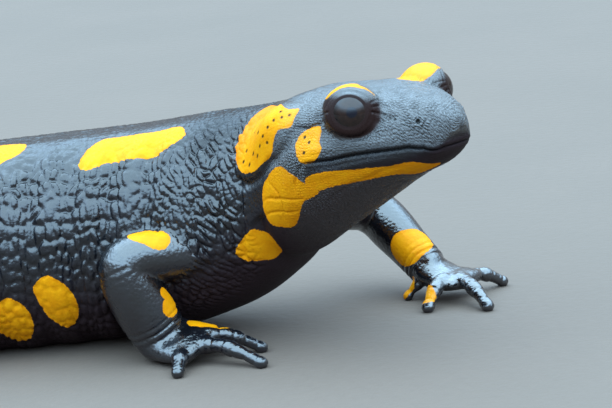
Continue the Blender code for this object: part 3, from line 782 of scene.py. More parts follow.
# Creases on both sides of head and neck: depth, width, then places behind the snout and round the head
CREASES = {
    "eye to neck": (0.22, 0.2, [(10.6, 33), (11.6, 32), (12.6, 31), (14.2, 32)]),
    "eye to nostril": (0.12, 0.3, [(5.9, 31), (5.0, 35), (4.0, 43)]),
    "under the gland": (
        0.32, 0.42, [(14.0, 38), (14.3, 30), (14.8, 21), (16.4, 13), (19.0, 10), (21.8, 14), (24.0, 26)],
    ),
    "gland to back": (0.16, 0.45, [(13.6, 48), (14.6, 60), (18.0, 66), (22.0, 62), (24.4, 52), (24.4, 34)]),
    "corner of the mouth": (0.16, 0.16, [(12.5, 4.5), (13.3, 2), (14.0, -4), (14.3, -12)]),
    "upper neck": (0.14, 0.14, [(18.9, -4), (17.2, -9), (15.3, -16), (13.5, -22)]),
    "lower neck": (0.12, 0.13, [(19.2, -14), (17.6, -18), (16.0, -26), (14.6, -30)]),
    "across the neck": (0.10, 0.12, [(17.8, 3), (16.6, -6), (16.4, -16), (16.9, -30)]),
    "before the shoulder": (0.20, 0.26, [(22.6, 24), (22.2, 8), (22.3, -10), (23.2, -30)]),
    "over the shoulder": (0.18, 0.24, [(26.0, 40), (25.0, 20), (24.8, 4), (25.6, -12)]),
    "behind the shoulder": (0.20, 0.26, [(31.6, 30), (32.4, 12), (32.2, -6), (31.2, -22)]),
    "chin": (0.10, 0.2, [(3.6, -30), (6.6, -32), (10.0, -34), (13.0, -40)]),
}


# How far behind the snout the nostril is and its angle round the head, and its hole's and rim's radii
NOSTRIL = (2.5, 34.5)
NOSTRIL_HOLE = 0.25
NOSTRIL_RIM = 0.45
NOSTRIL_DEPTH = 0.34
NOSTRIL_RIM_HEIGHT = 0.09
MOUTH_DEPTH = 0.24
UPPER_LIP_HEIGHT = 0.07
LOWER_LIP_HEIGHT = 0.05


def mouth_and_nostrils(surface):
    """The closed mouth between its lips, and a nostril with a low rim on each side of the snout."""
    behind, height = surface.behind, surface.co[:, 2]
    along = np.maximum(behind, MOUTH_STARTS_AT)
    over = height - section(along, mouth_angle(along))[1]
    within = ramp(behind, MOUTH_CORNER_AT + 0.9, MOUTH_CORNER_AT - 0.3) * surface.on_body
    lips = UPPER_LIP_HEIGHT * bell(over, 0.36, 0.2) + LOWER_LIP_HEIGHT * bell(over, -0.34, 0.18)
    made = within * (lips - MOUTH_DEPTH * bell(over, 0, 0.08))
    # Painted shade: the groove between the lips is marked to be coloured near black
    surface.slit = within * bell(over, 0, 0.06)
    jaw_side = ramp(over, 0.1, -0.1) * ramp(over, -2.8, -1.8)
    surface.lip = 0.9 * within * np.maximum(bell(over, 0.1, 0.55), 0.85 * jaw_side)
    for side in (1, -1):
        gap = np.linalg.norm(surface.co - on_skin(*NOSTRIL, side), axis=1)
        made += NOSTRIL_RIM_HEIGHT * bell(gap, NOSTRIL_RIM, 0.14)
        made -= NOSTRIL_DEPTH * ramp(gap, NOSTRIL_HOLE, 0.08)
        # Painted shade: the nostril's hole is marked to be coloured near black too
        surface.slit = np.maximum(surface.slit, ramp(gap, NOSTRIL_HOLE - 0.01, 0.1))
    return made


# Furrows at the corners of the eye: depth, then places forward and up from its middle
EYE_FURROWS = (
    (0.13, ((2.1, 0.25), (2.9, 0.25), (4.2, -0.2))),
    (0.06, ((2.1, 0.75), (2.6, 0.95), (3.2, 0.95))),
    (0.06, ((1.9, 1.15), (2.3, 1.45), (2.8, 1.5))),
    (0.10, ((-2.1, -0.2), (-2.7, -0.4), (-3.6, -0.5))),
)
EYE_FURROW_WIDTH = 0.12
# The dark socket's half length and half height round that middle, and how far from it the skin is shaped
SOCKET = (2.75, 2.35)
EYE_REACH = 6
# Depths of the grooves in the lower and the upper lid, and the height of the lower one's rim
LOWER_GROOVE = 0.16
UPPER_GROOVE = 0.08
LOWER_RIM = 0.08


def eye_frame(side):
    """The eye's centre, its gaze, and the ways forward and up across it."""
    centre, gaze = eye_axes(side)
    ahead, _ = ways(EYE_AT)
    forward = unit(ahead - (ahead @ gaze) * gaze)
    up = np.cross(gaze, forward)
    return centre, gaze, forward, up if up[2] > 0 else -up


def round_eye(surface, side):
    """The points near an eye, and where each lies from its middle: forward, up and out along its gaze."""
    centre, gaze, forward, up = eye_frame(side)
    near = np.flatnonzero((np.linalg.norm(surface.co - centre, axis=1) < EYE_REACH) & (surface.side == side))
    away = surface.co[near] - centre
    return near, away, away @ forward, away @ up, away @ gaze


def seat_eyes(surface):
    """Draws the skin in behind each eyeball, so that the ball stands in an oval between rolled lids."""
    for side in (1, -1):
        near, away, x, y, facing = round_eye(surface, side)
        rim = np.hypot(x / EYE_OPENING[0], y / EYE_OPENING[1])
        off = np.linalg.norm(away, axis=1)
        lid = EYE_RADIUS + LID_RISE * ramp(rim, 0.98, 1.55) + 0.06 * bell(rim, 1.16, 0.10)
        lid = lid - 0.4 * ramp(rim, 1.04, 0.86)
        pull = ramp(rim, 1.75, 1.3) * ramp(facing, -0.2, 0.3)
        surface.co[near] += away / off[:, None] * ((lid - off) * pull)[:, None]


def lids(surface):
    """The groove under the lower lid and the folds at the corners of the eye. Marks the dark lids."""
    made = np.zeros(len(surface.co))
    surface.lid = np.zeros(len(surface.co))
    for side in (1, -1):
        near, _, x, y, facing = round_eye(surface, side)
        reach = np.hypot(x / SOCKET[0], y / SOCKET[1])
        low = ramp(y, 0.7, -0.7)
        front = ramp(facing, -1.6, -0.4)
        lower = LOWER_RIM * bell(reach, 0.80, 0.10) - LOWER_GROOVE * bell(reach, 1.03, 0.10)
        made[near] += front * low * lower
        made[near] -= front * (1 - low) * UPPER_GROOVE * bell(reach, 0.86, 0.05)
        for depth, line in EYE_FURROWS:
            gap, _ = distance_to_line(np.stack([x, y], axis=-1), np.array(line))
            made[near] -= front * depth * bell(gap, 0, EYE_FURROW_WIDTH)
        rim = np.hypot(x / EYE_OPENING[0], y / EYE_OPENING[1])
        around = ramp(reach, 1.14, 0.96) * ramp(y, 1.9, 0.9)
        surface.lid[near] = front * np.maximum(around, ramp(rim, 1.16, 1.06))
    return made


FOLD_SPACING = 0.72
WRIST_FOLD_DEPTH = 0.16
KNEE_FOLD_DEPTH = 0.10
JOINT_SPACING = 1.25
JOINT_DEPTH = 0.07
LEG_REACH = 22


def limb_relief(surface):
    """Folds of skin round wrists and ankles, and joints along the digits. Marks where the legs are."""
    made = np.zeros(len(surface.co))
    surface.limb = np.zeros(len(surface.co))
    for leg in LEGS.values():
        root, knee, wrist, middle = (leg_point(leg, name) for name in ("root", "knee", "ankle", "palm"))
        near = np.flatnonzero(np.linalg.norm(surface.co - (knee + wrist) / 2, axis=1) < LEG_REACH)
        points = surface.co[near]
        free = ramp(surface.beyond[near], 0.1, 0.7)
        reach, along = distance_to_line(points, [root, knee, wrist])
        upper = np.linalg.norm(knee - root)
        whole = upper + np.linalg.norm(wrist - knee)
        on_arm = free * ramp(reach, 4.2, 3.4)
        short = whole - along
        wander = 0.25 * drift(points[:, 0] / 1.5, points[:, 1] / 1.5, 71)
        rings = (0.5 + 0.5 * np.cos(2 * pi * (short / FOLD_SPACING + wander))) ** 3
        made[near] -= on_arm * WRIST_FOLD_DEPTH * rings * bell(short, 0.4, 1.1)
        made[near] -= on_arm * KNEE_FOLD_DEPTH * rings * bell(along, upper, 1.3)
        surface.limb[near] = np.maximum(surface.limb[near], on_arm)
        for shape in leg["digits"]:
            line = np.array(digit_line(leg, *shape))
            gap, run = distance_to_line(points, line)
            on_digit = ramp(gap, 1.25, 0.95) * ramp(run, 0.5, 1.2)
            creases = (0.5 + 0.5 * np.cos(2 * pi * run / JOINT_SPACING)) ** 6
            made[near] -= on_digit * JOINT_DEPTH * creases
            surface.limb[near] = np.maximum(surface.limb[near], on_digit)
        palm_gap = np.linalg.norm(points - middle, axis=1)
        surface.limb[near] = np.maximum(surface.limb[near], ramp(palm_gap, 4.8, 4.0) * free)
    return made


ROOT_SMOOTHINGS = 24


def soften_roots(surface):
    """Draws the legs' roots smoothly out of the body."""
    weight = np.zeros(len(surface.co))
    for leg in LEGS.values():
        root, knee = leg_point(leg, "root"), leg_point(leg, "knee")
        gap, _ = distance_to_line(surface.co, [root, knee])
        weight = np.maximum(weight, ramp(gap, 4.6, 3.2) * bell(surface.beyond, 0.2, 0.9))
    surface.smooth(ROOT_SMOOTHINGS, weight)


def shape_skin(surface):
    """Smooths the rough surface, then raises the small forms on it."""
    surface.smooth(3)
    surface.measure()
    soften_roots(surface)
    seat_eyes(surface)
    surface.measure()
    surface.spot = markings(surface)
    folds = mouth_and_nostrils(surface) + lids(surface) + limb_relief(surface)
    smooth = np.maximum(np.maximum(surface.lid, surface.lip), 0.5 * ramp(surface.spot, -0.15, 0.25))
    height = folds + flank_relief(surface) * (1 - smooth)
    for depth, width, line in CREASES.values():
        height += furrow(surface, line, depth, width)
    surface.co += surface.normals() * height[:, None]
    surface.fit_box()
    surface.write()


# Markings. Each is a loop of places on the skin: how far behind the snout, and the angle round the body
BOTH_SIDES = {
    "gland": [
        (21.3, 77), (18.6, 62), (16.2, 50), (14.6, 50), (14.5, 40), (14.7, 33), (15.9, 32), (16.5, 26),
        (16.9, 18), (18.0, 16), (19.5, 16), (20.7, 18), (22.4, 24), (23.4, 36), (23.6, 50), (23.2, 66),
        (22.3, 80),
    ],
    "cheek": [
        (11.0, 30), (10.8, 18), (10.4, 11), (11.1, 5), (12.0, 4), (12.9, 6), (13.6, 16), (13.5, 23),
        (12.4, 31),
    ],
    "neck": [
        (15.5, 7), (14.4, 2), (13.4, -3), (12.8, -9), (11.7, -21), (12.8, -24), (14.0, -25), (15.8, -38),
        (16.9, -38), (18.4, -26), (19.0, -17), (19.1, -8), (18.8, 2), (17.8, 6), (16.6, 8),
    ],
}
RIGHT_SIDE = {
    "jaw": [
        (12.5, -3), (10.3, -3), (8.4, -7), (6.3, -14), (4.6, -22), (3.4, -23), (2.6, -42), (2.5, -84),
        (4.4, -80), (4.8, -52), (6.4, -38), (8.1, -32), (9.4, -25), (11.6, -21), (12.8, -12),
    ],
    "chest": [
        (23.6, -18), (21.6, -14), (20.5, -22), (19.5, -33), (19.7, -51), (20.8, -53), (21.6, -44),
        (23.6, -26),
    ],
    "first stripe": [
        (42.5, 56), (41.6, 66), (39.8, 74), (35.6, 73), (32.1, 73), (31.0, 67), (30.8, 60), (33.1, 53),
        (36.2, 52), (39.0, 54), (40.4, 50), (41.8, 50),
    ],
    "second stripe": [
        (49.3, 82), (48.8, 73), (50.5, 64), (55.0, 58), (61.0, 60), (63.5, 68), (60.0, 76), (53.0, 84),
    ],
    "flank a": [
        (47.9, -8), (46.7, -3), (45.2, -4), (43.7, -13), (43.3, -27), (44.7, -39), (46.4, -31),
        (47.5, -18),
    ],
    "flank b": [(53.2, -22), (51.5, -13), (49.7, -14), (48.6, -26), (49.1, -43), (50.6, -48), (52.6, -38)],
    "flank c": [(60.5, 12), (58.0, 17), (55.8, 8), (56.4, -6), (58.6, -11), (60.6, -3)],
    "flank d": [(70.5, -20), (67.0, -12), (64.8, -20), (65.4, -36), (68.0, -42), (70.6, -33)],
    "flank e": [(80.0, 2), (77.0, 9), (75.0, 2), (75.6, -12), (78.4, -18), (80.2, -9)],
    "third stripe": [(69.5, 60), (73.0, 52), (79.0, 54), (84.0, 62), (83.0, 74), (76.0, 80), (70.5, 74)],
    "hip stripe": [(90.0, 62), (94.0, 54), (99.0, 58), (101.0, 70), (97.0, 78), (91.5, 74)],
    "tail a": [(106.0, 50), (111.0, 38), (117.0, 46), (119.0, 66), (113.0, 76), (107.0, 68)],
    "tail b": [(126.0, 44), (131.0, 32), (136.0, 42), (137.0, 62), (131.0, 70), (126.5, 60)],
    "tail c": [(144.0, 50), (149.0, 30), (154.0, 44), (153.0, 70), (147.0, 74)],
    "tail d": [(163.0, 50), (167.0, 30), (171.0, 48), (169.0, 72), (164.0, 70)],
    "tail low a": [(115.0, -18), (112.0, -6), (109.5, -20), (111.0, -40), (114.5, -38)],
    "tail low b": [(139.0, -14), (136.0, 0), (133.0, -16), (135.0, -38), (138.5, -34)],
}
LEFT_SIDE = {
    "jaw": [(12.5, -3), (9.0, -5), (6.3, -12), (5.0, -24), (6.4, -34), (9.4, -25), (12.8, -12)],
    "chest": [(24.2, -20), (22.0, -12), (20.2, -22), (19.8, -38), (21.6, -46), (23.8, -36)],
    "first stripe": [
        (28.5, 66), (32.0, 56), (37.0, 50), (42.0, 54), (44.5, 64), (41.0, 74), (34.0, 76), (29.5, 74),
    ],
    "second stripe": [(53.0, 64), (57.0, 54), (63.0, 56), (67.0, 64), (65.0, 74), (58.5, 80), (54.0, 76)],
    "third stripe": [(73.0, 66), (77.0, 54), (84.0, 52), (88.0, 62), (87.0, 74), (80.0, 78), (75.0, 76)],
    "hip stripe": [(95.0, 60), (98.0, 50), (103.0, 54), (104.5, 68), (100.0, 76), (96.0, 72)],
    "flank a": [(40.0, -6), (37.5, 2), (35.8, -6), (36.0, -22), (38.6, -28), (40.2, -18)],
    "flank b": [(51.0, 10), (48.4, 16), (46.4, 6), (47.0, -8), (49.4, -12), (51.2, -2)],
    "flank c": [(58.6, -24), (56.0, -16), (54.0, -26), (54.8, -40), (57.4, -44), (59.0, -34)],
    "flank d": [(70.4, 4), (67.4, 12), (65.2, 2), (66.0, -14), (68.6, -18), (70.6, -8)],
    "flank e": [(78.5, -26), (76.0, -18), (74.0, -28), (75.0, -42), (77.4, -44)],
    "tail a": [(112.0, 56), (116.0, 38), (121.0, 46), (123.0, 64), (118.0, 76), (113.0, 70)],
    "tail b": [(130.0, 52), (135.0, 34), (141.0, 44), (141.0, 66), (135.0, 74)],
    "tail c": [(151.0, 50), (156.0, 28), (161.0, 46), (159.0, 70), (153.0, 72)],
    "tail low": [(124.0, -16), (121.0, -2), (118.5, -18), (120.0, -38), (123.0, -36)],
}
# The yellow of the upper lid, as behind the snout and out from the middle of the head, seen from above
LID_PATCHES = {
    "right": [
        (6.4, 4.4), (6.9, 5.05), (7.4, 5.6), (8.2, 6.1), (8.8, 6.5), (9.5, 7.05), (10.2, 7.1), (10.9, 6.4),
        (11.0, 5.2), (10.7, 4.2), (9.8, 3.9), (8.9, 4.2), (8.2, 4.7), (7.6, 5.0), (7.0, 4.75),
    ],
    "left": [
        (6.7, 4.5), (7.1, 6.1), (7.7, 6.6), (8.8, 6.6), (9.5, 7.05), (10.2, 7.1), (10.9, 6.4), (11.0, 5.2),
        (10.7, 3.9), (9.8, 2.7), (8.6, 1.7), (7.5, 2.3), (7.0, 3.5),
    ],
}
# Spots on the legs: radius, then a line of places ahead of, out from and above the leg's spot on the floor
LEG_SPOTS = {
    "front_right": [
        (1.3, (-4.8, 12.2, 12.7), (-3.2, 11.9, 12.2)),
        (0.6, (-2.7, 12.6, 7.0), (-2.3, 12.0, 6.2)),
        (1.0, (-2.2, 12.2, 5.7), (-2.2, 12.6, 5.6)),
        (0.8, (-0.9, 10.3, 3.5), (0.6, 9.9, 3.1), (1.6, 9.3, 2.6)),
    ],
    "front_left": [
        (1.95, (11.6, 13.3, 5.2), (12.0, 14.2, 5.0)),
        (0.8, (12.0, 12.2, 1.6), (11.4, 12.0, 0.9)),
        (0.8, (15.6, 9.4, 1.6), (15.6, 8.2, 1.2)),
    ],
    "hind_right": [(1.7, (5.6, 10.6, 10.0), (7.0, 12.2, 9.6)), (1.2, (4.6, 16.0, 5.8), (3.4, 17.4, 4.6))],
    "hind_left": [(1.7, (-0.4, 11.8, 9.8), (-0.8, 13.6, 9.4)), (1.2, (-5.4, 16.4, 6.4), (-7.2, 16.4, 5.0))],
}
# Openings of the gland's pores
PORES = [
    (15.2, 43), (15.9, 41), (16.7, 39), (18.0, 31), (17.4, 26), (18.6, 27), (20.0, 27), (21.6, 34),
    (19.2, 23), (20.8, 23), (21.9, 28), (19.0, 36), (20.4, 42), (17.3, 35), (16.4, 46), (12.7, 23),
    (12.0, 18), (12.4, 11),
]
PORE_RADIUS = 0.22
# Distances from a spot's edge are kept up to this one
SPOT_LIMIT = 1.5


def closed_curve(corners, steps=5):
    """A smooth loop through the corners."""
    corners = np.asarray(corners, float)
    before, after = np.roll(corners, 1, axis=0), np.roll(corners, -1, axis=0)
    beyond = np.roll(corners, -2, axis=0)
    t = np.linspace(0, 1, steps, endpoint=False)[:, None, None]
    bend = (2 * before - 5 * corners + 4 * after - beyond) * t ** 2
    bend = bend + (3 * corners - before - 3 * after + beyond) * t ** 3
    curve = 0.5 * (2 * corners + (after - before) * t + bend)
    return curve.transpose(1, 0, 2).reshape(-1, 2)


def inside_by(points, loop):
    """How far inside a closed loop points lie, in millimetres, and negative outside it."""
    low, high = loop.min(0) - SPOT_LIMIT, loop.max(0) + SPOT_LIMIT
    found = np.full(len(points), -SPOT_LIMIT)
    near = np.flatnonzero(np.all((points > low) & (points < high), axis=1))
    x, y = points[near].T
    gap = distance_to_line(points[near], np.vstack([loop, loop[:1]]))[0]
    inside = np.zeros(len(near), bool)
    for (x0, y0), (x1, y1) in zip(loop, np.roll(loop, -1, axis=0)):
        crosses = (y0 > y) != (y1 > y)
        inside ^= crosses & (x < x0 + (y - y0) * (x1 - x0) / (y1 - y0 if y1 != y0 else 1))
    found[near] = np.where(inside, gap, -gap)
    return np.maximum(found, -SPOT_LIMIT)


def markings(surface):
    """How far inside the nearest yellow spot each point of the skin lies."""
    mark = np.full(len(surface.co), -SPOT_LIMIT)
    chart = surface.chart * np.stack([np.ones_like(surface.side), surface.side], axis=-1)
    for sides, spots in (((1, -1), BOTH_SIDES), ((-1,), RIGHT_SIDE), ((1,), LEFT_SIDE)):
        for side in sides:
            for loop in spots.values():
                places = np.array(loop, float)
                corners = np.stack([places[:, 0], side * girth(places[:, 0], places[:, 1])], axis=-1)
                mark = np.maximum(mark, inside_by(chart, closed_curve(corners)))
    on_leg = (surface.beyond > 0.7) & (surface.co[:, 2] < outline(surface.behind)[2] + 2)
    mark = np.where(on_leg, -SPOT_LIMIT, mark)
    seen_from_above = np.stack([surface.behind, np.abs(surface.left)], axis=-1)
    for name, patch in LID_PATCHES.items():
        on_lid = inside_by(seen_from_above, closed_curve(patch))
        here = (surface.co[:, 2] > outline(EYE_AT)[2] + 3) & ((surface.left > 0) == (name == "left"))
        mark = np.maximum(mark, np.where(here, on_lid, -SPOT_LIMIT))
    for kind, spots in LEG_SPOTS.items():
        leg = LEGS[kind]
        for radius, *line in spots:
            line = [place(leg["hub"], 0, 0) + turned(leg, *spot) for spot in line]
            mark = np.maximum(mark, radius - distance_to_line(surface.co, line)[0])
    return np.clip(mark, -SPOT_LIMIT, SPOT_LIMIT)


def pore_marks(surface):
    """1 in the pores of the gland and 0 away from them. The material paints shade into them and dents them a
    little.
    """
    mark = np.zeros(len(surface.co))
    for side in (1, -1):
        for behind, angle in PORES:
            spot = np.array([behind, girth(behind, angle)])
            gap = np.linalg.norm(surface.chart - spot, axis=1) + (surface.side != side) * 9
            mark = np.maximum(mark, ramp(gap, PORE_RADIUS, 0.10))
    return mark


# Materials. Effects that are shared are node groups with named inputs and outputs
class Nodes:
    """Adds nodes to one tree, linking or setting their inputs by name."""

    def __init__(self, tree):
        self.tree = tree

    def add(self, kind, inputs=None, **settings):
        """A new node with its settings and inputs."""
        node = self.tree.nodes.new("ShaderNode" + kind)
        for key, value in settings.items():
            setattr(node, key, value)
        for key, value in (inputs or {}).items():
            self.feed(node.inputs[key], value)
        return node

    def feed(self, socket, value):
        """Links an input to another node's output, or sets it to a value."""
        if isinstance(value, bpy.types.NodeSocket):
            self.tree.links.new(value, socket)
        else:
            socket.default_value = value

    def math(self, operation, a, b=0.0, c=0.0, clamp=False):
        made = self.add("Math", {0: a, 1: b, 2: c}, operation=operation, use_clamp=clamp)
        return made.outputs[0]

    def step(self, value, low, high, top=1.0):
        """Rises smoothly from 0 to top as the value goes from low to high."""
        kept = {"Value": value, "From Min": low, "From Max": high, "To Min": 0.0, "To Max": top}
        return self.add("MapRange", kept, interpolation_type="SMOOTHSTEP").outputs["Result"]

    def mix(self, share, a, b):
        """A colour from a, at share 0, to b, at share 1."""
        made = self.add("Mix", data_type="RGBA")
        self.feed(made.inputs["Factor"], share)
        for name, value in (("A", a), ("B", b)):
            socket = next(s for s in made.inputs if s.name == name and s.type == "RGBA")
            self.feed(socket, value)
        return next(s for s in made.outputs if s.type == "RGBA")

    def noise(self, where, per_mm, detail=2.0, roughness=0.55, distortion=0.0):
        inputs = {"Vector": where, "Scale": per_mm, "Detail": detail}
        inputs |= {"Roughness": roughness, "Distortion": distortion}
        return self.add("TexNoise", inputs).outputs["Fac"]

    def cells(self, where, per_mm, feature="F1"):
        inputs = {"Vector": where, "Scale": per_mm}
        return self.add("TexVoronoi", inputs, feature=feature).outputs["Distance"]

    def read(self, name):
        """A number that the skin or an eye stores at each of its points."""
        return self.add("Attribute", attribute_name=name).outputs["Fac"]

    def places(self):
        """Places on the object in millimetres."""
        where = self.add("TexCoord").outputs["Object"]
        scaled = self.add("VectorMath", {0: where}, operation="SCALE")
        scaled.inputs["Scale"].default_value = 1 / MM
        return scaled.outputs[0]


def node_group(name, inputs, outputs, build):
    """A shader node group. Build gets its nodes and input sockets, and returns its outputs by name."""
    group = bpy.data.node_groups.new(name, "ShaderNodeTree")
    for label, kind, value in inputs:
        socket = group.interface.new_socket(label, in_out="INPUT", socket_type=kind)
        if value is not None:
            socket.default_value = value
    for label, kind in outputs:
        group.interface.new_socket(label, in_out="OUTPUT", socket_type=kind)
    nodes = Nodes(group)
    entry = group.nodes.new("NodeGroupInput")
    leave = group.nodes.new("NodeGroupOutput")
    made = build(nodes, {label: entry.outputs[label] for label, _, _ in inputs})
    for label, socket in made.items():
        group.links.new(socket, leave.inputs[label])
    return group


def use(nodes, group, **inputs):
    """The outputs of a group, by name."""
    node = nodes.add("Group", node_tree=group)
    for label, value in inputs.items():
        nodes.feed(node.inputs[label], value)
    return node.outputs


NUMBER, VECTOR = "NodeSocketFloat", "NodeSocketVector"
# Heights of the finest grain
HEAD_GRAIN = {"winding": -0.012, "fine": 0.01}
TRUNK_GRAIN = {"beads": 0.02, "fine": 0.018}


def granules_group():
    """Fine grain of the skin, in millimetres: winding ridges on the head, small beads elsewhere."""
    def build(nodes, given):
        where = given["Place"]
        bent = nodes.add("TexNoise", {"Vector": where, "Scale": 1.6, "Detail": 2.0}).outputs["Color"]
        pushed = nodes.add("VectorMath", {0: bent, 1: where}, operation="MULTIPLY_ADD")
        pushed.inputs[1].default_value = (0.5, 0.5, 0.5)
        nodes.feed(pushed.inputs[2], where)
        winding = nodes.step(nodes.cells(pushed.outputs[0], 3.6, "SMOOTH_F1"), 0.15, 0.75)
        fine = nodes.noise(where, 6.5, 3.0, 0.6, 0.6)
        beads = nodes.step(nodes.cells(where, 2.6), 0.75, 0.1)
        head = nodes.math("MULTIPLY", fine, HEAD_GRAIN["fine"])
        head = nodes.math("MULTIPLY_ADD", winding, HEAD_GRAIN["winding"], head)
        trunk = nodes.math("MULTIPLY", fine, TRUNK_GRAIN["fine"])
        trunk = nodes.math("MULTIPLY_ADD", beads, TRUNK_GRAIN["beads"], trunk)
        both = nodes.add("Mix", {"Factor": given["Head"], "A": trunk, "B": head})
        return {"Height": both.outputs[0], "Grain": fine}
    inputs = [("Place", VECTOR, None), ("Head", NUMBER, 0.0)]
    return node_group("granules", inputs, [("Height", NUMBER), ("Grain", NUMBER)], build)


def spot_group():
    """The yellow markings' masks from their distance inside an edge, which wanders and leaves dark flecks."""
    def build(nodes, given):
        wander = nodes.noise(given["Place"], 2.2, 3.0, 0.65)
        fine = nodes.noise(given["Place"], 7.0, 2.0)
        moved = nodes.math("MULTIPLY_ADD", wander, given["Wander"], given["Inside"])
        moved = nodes.math("MULTIPLY_ADD", nodes.math("SUBTRACT", fine, 0.5), 0.09, moved)
        moved = nodes.math("MULTIPLY_ADD", given["Wander"], -0.5, moved)
        return {
            "Mask": nodes.step(moved, -0.035, 0.045),
            "Rim": nodes.step(moved, 0.40, 0.0),
        }
    inputs = [("Place", VECTOR, None), ("Inside", NUMBER, 0.0), ("Wander", NUMBER, 0.5)]
    return node_group("spots", inputs, [("Mask", NUMBER), ("Rim", NUMBER)], build)


def blotch_group():
    """Slow changes of tone over the skin."""
    def build(nodes, given):
        broad = nodes.noise(given["Place"], given["Per mm"], 4.0, 0.6)
        return {"Tone": nodes.step(broad, 0.33, 0.68)}
    inputs = [("Place", VECTOR, None), ("Per mm", NUMBER, 0.3)]
    return node_group("blotches", inputs, [("Tone", NUMBER)], build)


BLACK = (0.0028, 0.0028, 0.0038, 1)
BLUE_BLACK = (0.0060, 0.0065, 0.0090, 1)
# Lighter and browner than the black: the belly's own tone, partly painted bounce light from the ground
UNDERSIDE_AND_BOUNCE_LIGHT = (0.0210, 0.0120, 0.0135, 1)
LID_BROWN = (0.0170, 0.0080, 0.0070, 1)
YELLOW = (0.62, 0.215, 0.001, 1)
PALE_YELLOW = (0.66, 0.26, 0.002, 1)
ORANGE = (0.60, 0.140, 0.001, 1)
# Dark brown in the pores' openings: painted shade in the pits
PORE_SHADE = (0.030, 0.015, 0.004, 1)
# Near black in the mouth's groove and the nostrils' holes: painted shade
SLIT_SHADE = (0.0030, 0.0025, 0.0030, 1)
# The skin's own faint shine, and the film of water over it
SHINE = {"Specular IOR Level": 0.08, "Coat Roughness": 0.12, "Coat IOR": 1.9}
# Roughness of the black skin, and how much grain, underside and spots add to it
ROUGHNESS = {"least": 0.16, "grain": 0.22, "low": 0.30, "spots": 0.20}
PORE_DEPTH = 0.05


def new_material(name):
    """A material, its nodes, and its shader."""
    material = bpy.data.materials.new(name)
    material.use_nodes = True
    return material, Nodes(material.node_tree), material.node_tree.nodes["Principled BSDF"]


def skin_material(groups):
    """Wet black skin with yellow spots and dark lids, browner underneath partly as painted bounce light, with
    painted shade in the pores, the mouth line and the nostrils.
    """
    material, nodes, shader = new_material("skin")
    where = nodes.places()
    spots = use(nodes, groups["spots"], Place=where, Inside=nodes.read("spot"), Wander=0.28)
    grain = use(nodes, groups["granules"], Place=where, Head=nodes.read("head"))
    tone = use(nodes, groups["blotches"], Place=where, **{"Per mm": 0.35})["Tone"]
    yellow_tone = use(nodes, groups["blotches"], Place=where, **{"Per mm": 0.9})["Tone"]
    dark = nodes.mix(tone, BLACK, BLUE_BLACK)
    # Lighter and browner underneath: the belly's own tone, partly painted bounce light where the skin faces
    # down
    dark = nodes.mix(nodes.read("low"), dark, UNDERSIDE_AND_BOUNCE_LIGHT)
    dark = nodes.mix(nodes.read("lid"), dark, LID_BROWN)
    yellow = nodes.mix(yellow_tone, YELLOW, PALE_YELLOW)
    yellow = nodes.mix(nodes.math("MULTIPLY", spots["Rim"], 0.25), yellow, ORANGE)
    yellow = nodes.mix(nodes.read("orange"), yellow, ORANGE)
    # Painted shade in the pores' openings
    yellow = nodes.mix(nodes.read("pore"), yellow, PORE_SHADE)
    colour = nodes.mix(spots["Mask"], dark, yellow)
    # Painted shade in the mouth's groove and the nostrils' holes
    colour = nodes.mix(nodes.read("slit"), colour, SLIT_SHADE)
    nodes.feed(shader.inputs["Base Color"], colour)
    rough = nodes.math("MULTIPLY_ADD", grain["Grain"], ROUGHNESS["grain"], ROUGHNESS["least"])
    rough = nodes.math("MULTIPLY_ADD", nodes.read("low"), ROUGHNESS["low"], rough)
    rough = nodes.math("MULTIPLY_ADD", spots["Mask"], ROUGHNESS["spots"], rough)
    nodes.feed(shader.inputs["Roughness"], rough)
    for name, value in SHINE.items():
        shader.inputs[name].default_value = value
    dry = nodes.math("ADD", nodes.math("MULTIPLY", spots["Mask"], 0.9), nodes.read("lid"))
    dry = nodes.math("MULTIPLY_ADD", nodes.read("low"), 0.5, dry)
    dry = nodes.math("ADD", nodes.read("dry"), dry)
    nodes.feed(shader.inputs["Coat Weight"], nodes.math("SUBTRACT", 1.0, dry, clamp=True))
    calm = nodes.math("MULTIPLY_ADD", nodes.read("lid"), -0.75, 1.0)
    calm = nodes.math("MULTIPLY", calm, nodes.math("MULTIPLY_ADD", spots["Mask"], -0.35, 1.0))
    height = nodes.math("MULTIPLY", grain["Height"], calm)
    height = nodes.math("MULTIPLY_ADD", nodes.read("pore"), -PORE_DEPTH, height)
    bump = nodes.add("Bump", {"Height": height, "Distance": MM, "Strength": 1.0})
    nodes.feed(shader.inputs["Normal"], bump.outputs["Normal"])
    nodes.feed(shader.inputs["Coat Normal"], bump.outputs["Normal"])
    return material


PUPIL_RADIUS = 0.5
PUPIL_TOWARDS = {"around": 12.0, "above": 12.0}
# The pupil is black; its bluish tint is a painted reflection of the sky
PUPIL_AND_REFLECTION = (0.0015, 0.0025, 0.0070, 1)
IRIS_TONES = ((0.0075, 0.0032, 0.0026, 1), (0.0170, 0.0072, 0.0052, 1))
IRIS_STREAK = (0.026, 0.012, 0.007, 1)
IRIS_EDGE = (0.004, 0.002, 0.002, 1)
EYE_SHINE = {"Roughness": 0.09, "Specular IOR Level": 0.36}


